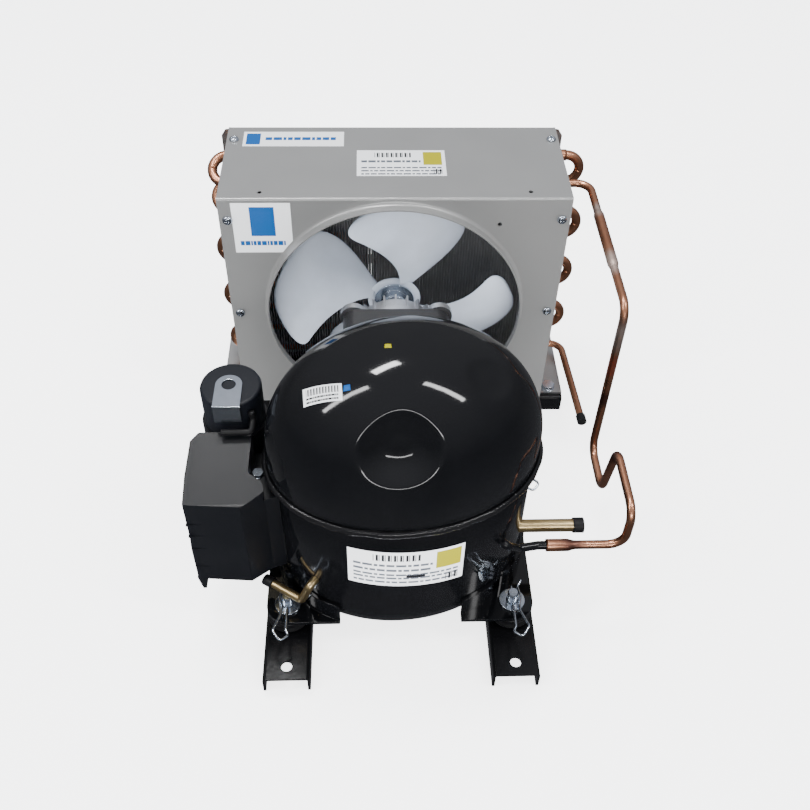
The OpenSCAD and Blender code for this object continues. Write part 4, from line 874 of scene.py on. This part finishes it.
@dataclass
class CopperLines:
    """Lines between the compressor and the coil, the stubs and their caps."""

    line_r: float = 3.175
    bend: float = 12.0

    def discharge(self) -> None:
        """Line from the socket on the stub, round to the front, up and back to the coupling."""
        socket_l = 19.0
        places = [(STUB_Y, STUB_Z), (STUB_Y, 116.0), (-151.0, 116.0), (-139.0, 57.0), (-96.0, 57.0),
                  (-96.0, LINE_TOP), (-37.5, LINE_TOP)]
        points = [(104.0, STUB_Y, STUB_Z)] + [(LINE_X, y, z) for y, z in places]

        def swell(_line: Array, run: Array) -> Array:
            """Wider over the socket, with a fillet of braze that ends it."""
            wide = 1.35 / (1 + np.exp((run - socket_l + 1.5) * 1.6))
            return self.line_r + wide + 0.25 * np.exp(-(((run - socket_l) / 1.5) ** 2))

        thing = pipe("discharge_pipe", points, self.bend, self.line_r, 24, 1.5, swell)
        dress(thing, LINE_COPPER, "copper", "discharge_line")

    def coupling(self) -> None:
        """Swelled piece whose ends are drawn down to the tube."""

        def swell(_line: Array, run: Array) -> Array:
            """Straight in the middle, with a neck of 5 mm at both ends."""
            neck = np.clip(np.minimum(run, run[-1] - run) / 5.0, 0.0, 1.0)
            return self.line_r + 0.08 + 0.845 * (neck * neck * (3 - 2 * neck))

        ends = [(LINE_X, y, LINE_TOP) for y in (-49.4, 20.4)]
        thing = pipe("line_sleeve", ends, 1.0, self.line_r, 28, 0.6, swell)
        dress(thing, LINE_COPPER, "copper", "line_coupling")

    def coil_ends(self) -> None:
        """The inlet from the coupling and the capped outlet."""
        row = COIL_ROWS[0]
        inlet = [(PLATE_X, row, LINE_TOP), (LINE_X, row, LINE_TOP), (LINE_X, 8.5, LINE_TOP)]
        outlet = [(PLATE_X, row, FIRST_TUBE), (LINE_X, row, FIRST_TUBE), (163.175, -46.0, 33.75)]
        for name, points, finish in (("inlet", inlet, LINE_COPPER), ("outlet", outlet, Finish.COPPER)):
            thing = pipe(name + "_pipe", points, self.bend, self.line_r, 24, 1.5)
            dress(thing, finish, "copper", name + "_tube")

    def build(self) -> None:
        """Makes the lines, and softens the stubs at the shell and the caps."""
        self.discharge()
        self.coupling()
        self.coil_ends()
        softened("suction_stub", Finish.BRASS, "copper", 0.15)
        softened("discharge_stub", Finish.SHELL, "shell_paint", 0.1, 70.0)
        softened("process_tube", Finish.BRASS, "copper", 0.1, 70.0)
        for node in ("suction_cap", "process_cap", "outlet_cap"):
            softened(node, Finish.RUBBER, "rubber", 0.35)


# The coil


def tube_place(row: int, k: float) -> Pair:
    """Place of a tube, as y and z: row 0 is the front row, and row 1 lies half a step higher."""
    return COIL_ROWS[row], FIRST_TUBE + PITCH * (k + 0.5 * row)


@dataclass
class Coil:
    """Finned coil with its tubes and end plates."""

    tube_r: float = 3.97
    fins: int = 112
    fin_t: float = 0.34
    wave_high: float = 0.95
    wave_long: float = 11.0
    end_gap: float = 1.1
    span: float = 264.4
    front: float = 50.0
    depth: float = 44.0
    low: float = 21.05
    height: float = 203.2

    def fin_pack(self) -> None:
        """Fine fins, each a sheet pressed into waves across its depth.

        The offset of a fin along x is the height of a wave times the cosine of its depth.
        """
        columns = 33
        y = np.linspace(self.front, self.front + self.depth, columns)
        wave = self.wave_high * np.cos(2 * math.pi * (y - self.front) / self.wave_long)
        reach = self.span / 2 - self.end_gap
        middle = np.linspace(-reach, reach, self.fins)
        side = np.array([-0.5, 0.5]) * self.fin_t
        ends = np.array([self.low, self.low + self.height])
        x = middle[:, None, None, None] + side[None, :, None, None] + wave
        points = np.stack(np.broadcast_arrays(x, y, ends[:, None]), axis=-1)
        first = np.arange(self.fins) * len(side) * len(ends) * columns
        quads = sheet_quads(len(ends), columns)[None] + first[:, None, None]
        thing = mesh_object("fine_fins", placed(points), quads.reshape(-1, 4))
        dress(thing, Finish.FIN, "aluminium_fin", "fin_pack")

    def bent(self, pair: Sequence[Pair], x0: float, x1: float, sockets: bool) -> Thing:
        """One U shaped tube that starts and ends at x0 and turns back at x1."""
        (ya, za), (yb, zb) = pair
        r = math.hypot(yb - ya, zb - za) / 2
        out = x1 + math.copysign(r, x1 - x0)
        points = [(x0, ya, za), (out, ya, za), (out, yb, zb), (x0, yb, zb)]

        def swell(line: Array, _run: Array) -> Array:
            """Widens into a socket beyond the end plate."""
            wide = 0.62 / (1 + np.exp(-(line[:, 0] - (PLATE_X + 1.6)) * 3.0)) if sockets else 0.0
            return self.tube_r + wide + np.zeros(len(line))

        return pipe("bent", points, r * 0.9995, self.tube_r, 20, 2.0, swell)

    def tubes(self) -> None:
        """Hairpins with their bends on the left, and return bends on the right."""
        hairpins = [((0, 7), (1, 7)), ((1, 6), (0, 6))] + [((0, k), (0, k - 1)) for k in (5, 3, 1)]
        returns = [((1, 7), (1, 6))] + [((0, k), (0, k - 1)) for k in (6, 4, 2)]
        for name, node, pairs, x0, x1 in (("coil_hairpins", "hairpin_tubes", hairpins, SOCKET_X, -PLATE_X),
                                          ("coil_returns", "return_bends", returns, PLATE_X + 3.0, SOCKET_X)):
            made = [self.bent([tube_place(*e) for e in pair], x0, x1, x1 < 0) for pair in pairs]
            dress(joined(name, made), JOINT_COPPER, "copper", node)

    def build(self) -> None:
        """Makes the coil."""
        self.fin_pack()
        self.tubes()
        for side in ("left", "right"):
            softened("end_plate_" + side, Finish.GALVANISED, "galvanised", 0.35)
        softened("foot_bolts", Finish.ZINC, "zinc", 0.4)


# Fan, motor and shroud


@dataclass
class Fan:
    """Sickle blades on a hub, and the motor behind them."""

    tip: float = 100.0
    root: float = 18.0
    thickness: float = 1.5
    blades: int = 4
    first: float = 75.0
    plane_y: float = 14.0
    axis_z: float = 123.5

    def surface(self, s: Array, e: Array, side: float) -> Array:
        """Points of a blade.

        With s the share of the length and e the share across, the radius goes from root to tip, bulging at
        the tip edge. Half the angle is 16 + 19 sin(100 s) degrees and rounds off beyond s = 0.72, the sweep
        is -14 + 26 s to the power 1.4, and the pitch angle is 34 - 17 s degrees.

        Args:
            s: Shares along the blade.
            e: Shares across it, from -1 to 1.
            side: 1 for the face, -1 for the back.

        Returns:
            Points in the fan's frame, with its axis along z.
        """
        r = self.root + (self.tip - self.root) * s * (1 - 0.05 * e * e * s)
        w = (16 + 19 * np.sin(np.radians(100 * s))) * np.sqrt(1 - np.maximum(0, (s - 0.72) / 0.28) ** 3 * 0.85)
        t = np.radians(-14 + 26 * s**1.4 + e * w)
        rise = e * np.radians(w) * r * np.sin(np.radians(34 - 17 * s)) + 3 * self.thickness * (1 - e * e) * s
        edge = np.sqrt(np.clip(1 - np.maximum(np.abs(e), s) ** 24, 0.02, 1.0))
        return np.stack([r * np.cos(t), r * np.sin(t), rise + side * edge * self.thickness / 2], axis=-1)

    def rotor(self) -> None:
        """Four blades and the plate that joins them, as one moulding."""
        rows, columns = 44, 40
        across = np.sin(np.linspace(-math.pi / 2, math.pi / 2, columns))
        s, e = np.meshgrid(np.linspace(0, 1, rows), across, indexing="ij")
        x, y, z = np.moveaxis(np.stack([self.surface(s, e, -1.0), self.surface(s, e, 1.0)]), -1, 0)
        parts = []
        for i in range(self.blades):
            turn = math.radians(self.first + 360 * i / self.blades)
            u, v = x * math.cos(turn) - y * math.sin(turn), x * math.sin(turn) + y * math.cos(turn)
            points = np.stack([u, self.plane_y - z, self.axis_z + v], axis=-1)
            parts.append(outward(mesh_object("blade", placed(points), sheet_quads(rows, columns))))
        profile = [(4.1, -1.0), (20.5, -1.0), (21.7, -0.6), (22.0, 0.0), (21.7, 0.6), (20.5, 1.0), (4.1, 1.0)]
        parts.append(self.turned("hub_plate", profile))
        dress(joined("fan_moulding", parts), Finish.FAN, "fan_plastic", "fan_blades", body="fan_rotor")

    def turned(self, name: str, profile: Sequence[Pair]) -> Thing:
        """Ring turned about the fan's axis from a closed profile of radius and height."""
        t = np.linspace(0.0, 2 * math.pi, 96, endpoint=False)[:, None]
        r = np.array([p[0] for p in profile])[None]
        h = np.array([p[1] for p in profile])[None]
        x, y, z = np.broadcast_arrays(r * np.cos(t), self.plane_y - h, self.axis_z + r * np.sin(t))
        points = np.stack([x, y, z], axis=-1)
        quads = grid_faces(len(t) + 1, len(profile), True) % (len(t) * len(profile))
        return outward(mesh_object(name, placed(points), quads))

    def build(self) -> None:
        """Makes the fan and the motor."""
        self.rotor()
        softened("fan_hub", Finish.ZINC, "steel", 0.3, body="fan_rotor")
        softened("motor_shaft", Finish.STEEL, "steel", 0.3, body="fan_rotor")
        softened("motor_rotor", Finish.IRON, "iron", 0.2, body="fan_rotor")
        softened("motor_front_cover", Finish.ALUMINIUM, "aluminium_cast", 0.4)
        softened("motor_rear_cover", Finish.ALUMINIUM, "aluminium_cast", 0.4)
        softened("motor_stator", Finish.IRON, "iron", 0.2)
        softened("motor_windings", Finish.WIRE, "copper", 0.4)
        softened("motor_bracket", Finish.BASE, "base_paint", 0.35)
        softened("motor_bolts", Finish.ZINC, "zinc", 0.25)
        softened("bracket_bolts", Finish.ZINC, "zinc", 0.4)


@dataclass
class Shroud:
    """Sheet shroud and its pan head screws, whose heads are domes with a crossed recess."""

    head_r: float = 3.5
    head_h: float = 2.15
    slot_half: float = 0.55
    slot_l: float = 2.1
    slot_deep: float = 1.1
    front_screws: tuple[Pair, ...] = ((127.5, 213.0), (127.5, 121.0))
    top_screw: Point = (128.0, 83.0, 232.0)

    def screws(self) -> None:
        """Six screws: four in the front and two in the top."""
        n = 49
        a, b = np.meshgrid(np.linspace(-1.0, 1.0, n), np.linspace(-1.0, 1.0, n), indexing="ij")
        x = a * np.sqrt(1 - b * b / 2) * self.head_r
        y = b * np.sqrt(1 - a * a / 2) * self.head_r
        r = np.hypot(x, y)
        dome = self.head_h * np.sqrt(np.clip(1 - (r / (self.head_r + 0.02)) ** 3, 0.0, 1.0))
        slot = ((np.abs(x) < self.slot_half) | (np.abs(y) < self.slot_half)) & (r < self.slot_l)
        z = np.where(slot, dome - self.slot_deep, dome)
        heads = []
        for side in (-1, 1):
            heads += [np.stack([side * p + x, -z, q + y], axis=-1) for p, q in self.front_screws]
            p, q, top = self.top_screw
            heads.append(np.stack([side * p + x, q + y, top + z], axis=-1))
        parts = [mesh_object("head", placed(points), grid_faces(n, n, False)) for points in heads]
        thing = joined("shroud_screw_heads", parts)
        thing.modifiers.new("body", "SOLIDIFY").thickness = 0.4 * MM
        thing.data.shade_smooth()
        dress(thing, Finish.ZINC, "zinc", "shroud_screws")

    def build(self) -> None:
        """Makes the shroud."""
        softened("fan_shroud", Finish.SHROUD, "shroud_paint", 0.3, 50.0)
        self.screws()


# Electrical parts, the base and the pump


class Electrical:
    """Cover on the left of the compressor, the capacitor, its strap and its lead."""

    def build(self) -> None:
        """Makes the electrical parts."""
        softened("electrical_cover", Finish.PLASTIC, "black_plastic", 1.0, 32.0)
        softened("start_capacitor", Finish.CASE, "black_plastic", 2.2)
        softened("capacitor_strap", Finish.ZINC, "zinc", 0.3)
        softened("earth_screw", Finish.ZINC, "zinc", 0.3)
        softened("start_relay", Finish.CREAM, "cream_plastic", 0.6)
        softened("overload_protector", Finish.PLASTIC, "black_plastic", 0.5)
        lead = [(-100.9, -160.5, 172.0), (-99.8, -161.0, 166.0), (-101.0, -168.5, 160.8), (-121.5, -169.0, 161.2)]
        dress(pipe("capacitor_wire", lead, 3.0, 2.2, 16, 1.0), Finish.RUBBER, "rubber", "capacitor_lead")


class Base:
    """Two rails and the crossmember of folded, painted sheet."""

    def build(self) -> None:
        """Makes the base frame."""
        for node in ("base_rail_left", "base_rail_right", "rear_crossmember"):
            softened(node, Finish.BASE, "base_paint", 0.4)


class Pump:
    """The pump inside the shell, whose solids are right as they are and only get their finishes."""

    finishes = {
        Finish.GREY_IRON: ("pump_stator", "crankshaft", "cylinder_block", "cylinder_head"),
        Finish.WIRE: ("pump_windings",),
        Finish.ALUMINIUM: ("pump_rotor", "connecting_rod"),
        Finish.STEEL: ("piston", "wrist_pin", "suspension_springs"),
    }

    def build(self) -> None:
        """Gives each node its finish."""
        for finish, nodes in self.finishes.items():
            for node in nodes:
                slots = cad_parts[node].data.materials
                slots.clear()
                slots.append(material(finish))
                log.info("%s keeps its form", node)


# Labels


@dataclass(frozen=True)
class Mark:
    """Plain printed area of a label, in shares of its width and height from the lower left corner."""

    left: float
    low: float
    right: float
    high: float
    finish: Finish


def bars(left: float, right: float, low: float, high: float, count: int, finish: Finish) -> list[Mark]:
    """Upright bars of uneven width that fill an area, as on a generic bar label."""
    widths = [1 + (i * i * 7 + 3 * i) % 4 for i in range(2 * count)]
    edges = np.cumsum([0] + widths) / sum(widths) * (right - left) + left
    return [Mark(float(edges[i]), low, float(edges[i + 1]), high, finish) for i in range(0, 2 * count, 2)]


def lines(left: float, right: float, tops: Sequence[float], thick: float, finish: Finish) -> list[Mark]:
    """Thin level strokes that stand for lines of print, each broken into a few words."""
    made = []
    for n, top in enumerate(tops):
        at = left
        k = n
        while at < right - 0.02:
            wide = 0.03 + 0.018 * ((k * 5 + 2) % 4)
            made.append(Mark(at, top - thick, min(at + wide, right), top, finish))
            at += wide + 0.014
            k += 1
    return made


@dataclass
class Label:
    """Stuck on label: a thin sheet over a surface, with plain marks just above it."""

    name: str
    surface: Field
    marks: Sequence[Mark]
    columns: int = 24
    rows: int = 12

    def lift(self, u: Array, v: Array) -> Array:
        """Outward direction, square to the surface's slopes over a hundredth of the label each way."""
        step = 0.01
        across = self.surface(u + step, v) - self.surface(u - step, v)
        up = self.surface(u, v + step) - self.surface(u, v - step)
        out = np.cross(across, up)
        return out / np.linalg.norm(out, axis=-1, keepdims=True)

    def patch(self, area: Mark, height: float, thick: float, columns: int, rows: int) -> Thing:
        """Closed thin sheet over part of the label.

        Args:
            area: The part, with its finish.
            height: Height of its back over the surface, in millimetres.
            thick: Its thickness in millimetres.
            columns: Points across.
            rows: Points up.

        Returns:
            The sheet.
        """
        u, v = np.meshgrid(np.linspace(area.left, area.right, columns), np.linspace(area.low, area.high, rows))
        base, out = self.surface(u, v), self.lift(u, v)
        points = np.stack([base + out * height, base + out * (height + thick)])
        thing = outward(mesh_object("patch", placed(points), sheet_quads(rows, columns)))
        thing.data.materials.append(material(area.finish))
        return thing

    def build(self) -> None:
        """Makes the label and its marks as one piece."""
        parts = [self.patch(Mark(0.0, 0.0, 1.0, 1.0, Finish.PAPER), 0.04, 0.1, self.columns, self.rows)]
        for mark in self.marks:
            wide, tall = mark.right - mark.left, mark.high - mark.low
            columns, rows = max(2, int(wide * self.columns) + 2), max(2, int(tall * self.rows) + 2)
            parts.append(self.patch(mark, 0.145, 0.03, columns, rows))
        thing = joined(self.name, parts)
        thing.data.shade_flat()
        dress(thing, None, "shroud_paint")


def flat(corner: Point, across: Point, up: Point) -> Field:
    """Surface of a flat label from a corner and its two sides in millimetres."""
    c, a, b = (np.array(v, dtype=float) for v in (corner, across, up))
    return lambda u, v: c + u[..., None] * a + v[..., None] * b


def on_cup(shell: Compressor, ends: Pair, low: Pair, high: Pair) -> Field:
    """Surface of a label round the lower shell.

    Args:
        shell: The compressor.
        ends: Directions of the left and right end in degrees.
        low: Height of the lower edge at both ends.
        high: Height of the upper edge at both ends.

    Returns:
        The place for shares across and up.
    """
    a, b = shell.half_length - shell.wall, shell.half_depth - shell.wall

    def surface(u: Array, v: Array) -> Array:
        """Place on the ellipse, with the lower and upper edge sloping from one end to the other."""
        t, z0, z1 = (first + (last - first) * u for first, last in (ends, low, high))
        t = np.radians(t)
        return in_compressor(np.stack([a * np.cos(t), b * np.sin(t), z0 + (z1 - z0) * v], axis=-1))

    return surface


def on_dome(shell: Compressor, corners: Sequence[Pair]) -> Field:
    """Surface of a small label on the dome.

    The label's four corners in plan, from the lower left and anticlockwise, give a flat sheet. Each point is
    then raised onto the dome: with m the sum of the shares of the half axes, each squared, and p the shell's
    power, the share of the height is (1 - m to the power p / 2) to the power 1 / p.
    """
    p = np.array(corners, dtype=float)

    def surface(u: Array, v: Array) -> Array:
        """Bilinear place in plan, on the dome."""
        u, v = u[..., None], v[..., None]
        x, y = np.moveaxis((p[0] * (1 - u) + p[1] * u) * (1 - v) + (p[3] * (1 - u) + p[2] * u) * v, -1, 0)
        dx, dy = x - SHELL_X, y - SHELL_Y
        a = (dx * math.cos(SHELL_TURN) + dy * math.sin(SHELL_TURN)) / shell.half_length
        b = (-dx * math.sin(SHELL_TURN) + dy * math.cos(SHELL_TURN)) / shell.half_depth
        m = np.clip(a * a + b * b, 0.0, 1.0)
        rise = (1 - m ** (shell.power / 2)) ** (1 / shell.power)
        return np.stack([x, y, shell.skirt_z + (shell.dome_z - shell.skirt_z) * rise], axis=-1)

    return surface


@dataclass
class Labels:
    """Every label of the unit, with generic bars and squares in place of its print."""

    shell: Compressor

    def build(self) -> None:
        """Makes the labels."""
        yellow, ink, grey, blue = Finish.YELLOW_INK, Finish.INK, Finish.GREY_INK, Finish.BLUE_INK
        top = [Mark(0.75, 0.42, 0.96, 0.93, yellow), *bars(0.2, 0.62, 0.72, 0.9, 16, ink),
               *lines(0.05, 0.72, (0.6,), 0.08, grey), *lines(0.05, 0.95, (0.34, 0.22, 0.1), 0.05, grey),
               *bars(0.86, 0.97, 0.08, 0.26, 5, ink)]
        left = [Mark(0.03, 0.12, 0.17, 0.88, blue), *lines(0.22, 0.92, (0.62,), 0.2, blue)]
        front = [Mark(0.3, 0.34, 0.72, 0.92, blue), *lines(0.1, 0.9, (0.24,), 0.09, blue)]
        low = [Mark(0.75, 0.45, 0.97, 0.93, yellow), *bars(0.22, 0.62, 0.74, 0.92, 16, ink),
               *lines(0.05, 0.72, (0.64, 0.5), 0.06, grey), *lines(0.05, 0.95, (0.36, 0.26, 0.14), 0.05, grey),
               Mark(0.5, 0.24, 0.66, 0.34, ink), *bars(0.84, 0.97, 0.06, 0.26, 5, ink)]
        small = [*bars(0.08, 0.92, 0.5, 0.9, 22, ink), *lines(0.08, 0.9, (0.4, 0.2), 0.1, ink)]
        Label("data_label", flat((-29.5, 30.5, 232.0), (69.5, 0, 0), (0, 36.3, 0)), top).build()
        Label("top_label", flat((-120.7, 73.0, 232.0), (80.7, 0, 0), (0, 21.7, 0)), left).build()
        Label("front_label", flat((-124.0, 0.0, 183.0), (44.6, 0, 0), (0, 0, 45.6)), front).build()
        Label("shell_label", on_cup(self.shell, (-121.0, -69.5), (84.0, 79.0), (123.0, 119.0)), low, 60).build()
        corners = [(-61.1, -200.8), (-37.0, -206.0), (-37.6, -196.2), (-61.9, -189.9)]
        Label("dome_label", on_dome(self.shell, corners), small).build()
        for name, x, y, finish in (("yellow", -9.4, -174.4, yellow), ("blue", -34.4, -199.7, blue)):
            corners = [(x - 2.2, y - 1.6), (x + 2.2, y - 1.9), (x + 1.9, y + 1.6), (x - 1.9, y + 1.9)]
            dab = Label("paint_dab_" + name, on_dome(self.shell, corners), [])
            thing = dab.patch(Mark(0.0, 0.0, 1.0, 1.0, finish), 0.03, 0.08, 6, 6)
            thing.name = dab.name
            dress(thing, None, "shell_paint")


# Light and camera


@dataclass
class Studio:
    """White studio with soft boxes, a pale floor and the camera."""

    place: Point = (-0.02581851, -0.51306211, 0.63909768)
    forward: Point = (0.03494611, 0.68778233, -0.72507533)
    up: Point = (0.00975133, 0.72524928, 0.68841731)
    focal_px: float = 947.0410847694129
    image_px: float = 810.0

    def camera(self) -> None:
        """Camera that sees the unit as it was photographed: from high in front, close to it."""
        data = bpy.data.cameras.new("camera")
        data.sensor_width = 36.0
        data.lens = self.focal_px / self.image_px * data.sensor_width
        data.clip_start = 0.01
        thing = linked("camera", data)
        back, up = -Vector(self.forward), Vector(self.up)
        turn = Matrix((up.cross(back), up, back)).transposed().to_4x4()
        thing.matrix_world = Matrix.Translation(Vector(self.place)) @ turn
        bpy.context.scene.camera = thing

    def soft_box(self, name: str, place: Point, aim: Point, size: Pair, power: float) -> None:
        """One rectangular lamp that faces a point."""
        data = bpy.data.lights.new(name, "AREA")
        data.shape = "RECTANGLE"
        data.size, data.size_y = size
        data.energy = power
        thing = linked(name, data)
        thing.location = place
        thing.rotation_euler = (Vector(aim) - Vector(place)).to_track_quat("-Z", "Y").to_euler()

    def world(self) -> None:
        """Light from all round, which mirrors see as a dark room with a pale ceiling and the camera as white."""
        world = bpy.data.worlds.new("studio")
        bpy.context.scene.world = world
        world.use_nodes = True
        nodes = Nodes(world.node_tree)
        where = nodes.make("ShaderNodeTexCoord", {}, {}, "Generated")
        rise = nodes.make("ShaderNodeSeparateXYZ", {}, {0: where}, "Z")
        room = rise.step(-0.1, 1.0, 0.12, 0.75)
        soft, dim, seen = (nodes.make("ShaderNodeBackground", {}, {"Color": colour, "Strength": strength})
                           for colour, strength in (((0.92, 0.95, 1.0), 1.4), ((0.85, 0.86, 0.92), room),
                                                    ((1.0, 1.0, 1.0), 4.5)))
        for kind, shade in (("Is Glossy Ray", dim), ("Is Camera Ray", seen)):
            ray = nodes.make("ShaderNodeLightPath", {}, {}, kind)
            soft = nodes.make("ShaderNodeMixShader", {}, {0: ray, 1: soft, 2: shade})
        nodes.feed(nodes.tree.nodes.new("ShaderNodeOutputWorld").inputs[0], soft)

    def floor(self) -> None:
        """Pale, faintly glowing floor under the unit, far wider than the view, that mirrors don't see."""
        mesh = bpy.data.meshes.new("floor")
        half = 6.0
        corners = [(-half, -half, 0), (half, -half, 0), (half, half, 0), (-half, half, 0)]
        mesh.from_pydata(corners, [], [(0, 1, 2, 3)])
        thing = linked("floor", mesh)
        paint = Paint("floor")
        mesh.materials.append(paint.finish(
            Base_Color=paint.mix(paint.noise(3.0, 2.0), (0.96, 0.96, 0.96), (0.98, 0.98, 0.98)),
            Roughness=0.95,
            Specular_IOR_Level=0.0,
            Emission_Color=(1.0, 1.0, 1.0),
            Emission_Strength=3.0,
        ))
        thing.visible_glossy = False

    def build(self) -> None:
        """Sets the stage."""
        self.camera()
        self.world()
        self.floor()
        self.soft_box("key", (-0.25, 0.35, 1.7), (0.0, 0.0, 0.15), (0.5, 0.16), 15.0)
        self.soft_box("left tube", (-0.9, -0.35, 1.3), (0.0, -0.05, 0.1), (0.1, 1.0), 9.0)
        self.soft_box("right tube", (0.75, -0.4, 1.5), (0.0, -0.05, 0.1), (0.1, 0.9), 9.0)
        self.soft_box("front", (0.1, -1.6, 0.75), (0.0, -0.1, 0.1), (1.1, 0.12), 9.0)


def main() -> None:
    """Builds the unit, its labels and the studio."""
    logging.basicConfig(level=logging.INFO, format="%(name)s: %(message)s")
    shell = Compressor()
    for maker in (Studio(), shell, CopperLines(), Coil(), Fan(), Shroud(), Electrical(), Base(), Pump(),
                  Labels(shell)):
        log.info("building %s", type(maker).__name__)
        maker.build()


if __name__ == "__main__":
    main()
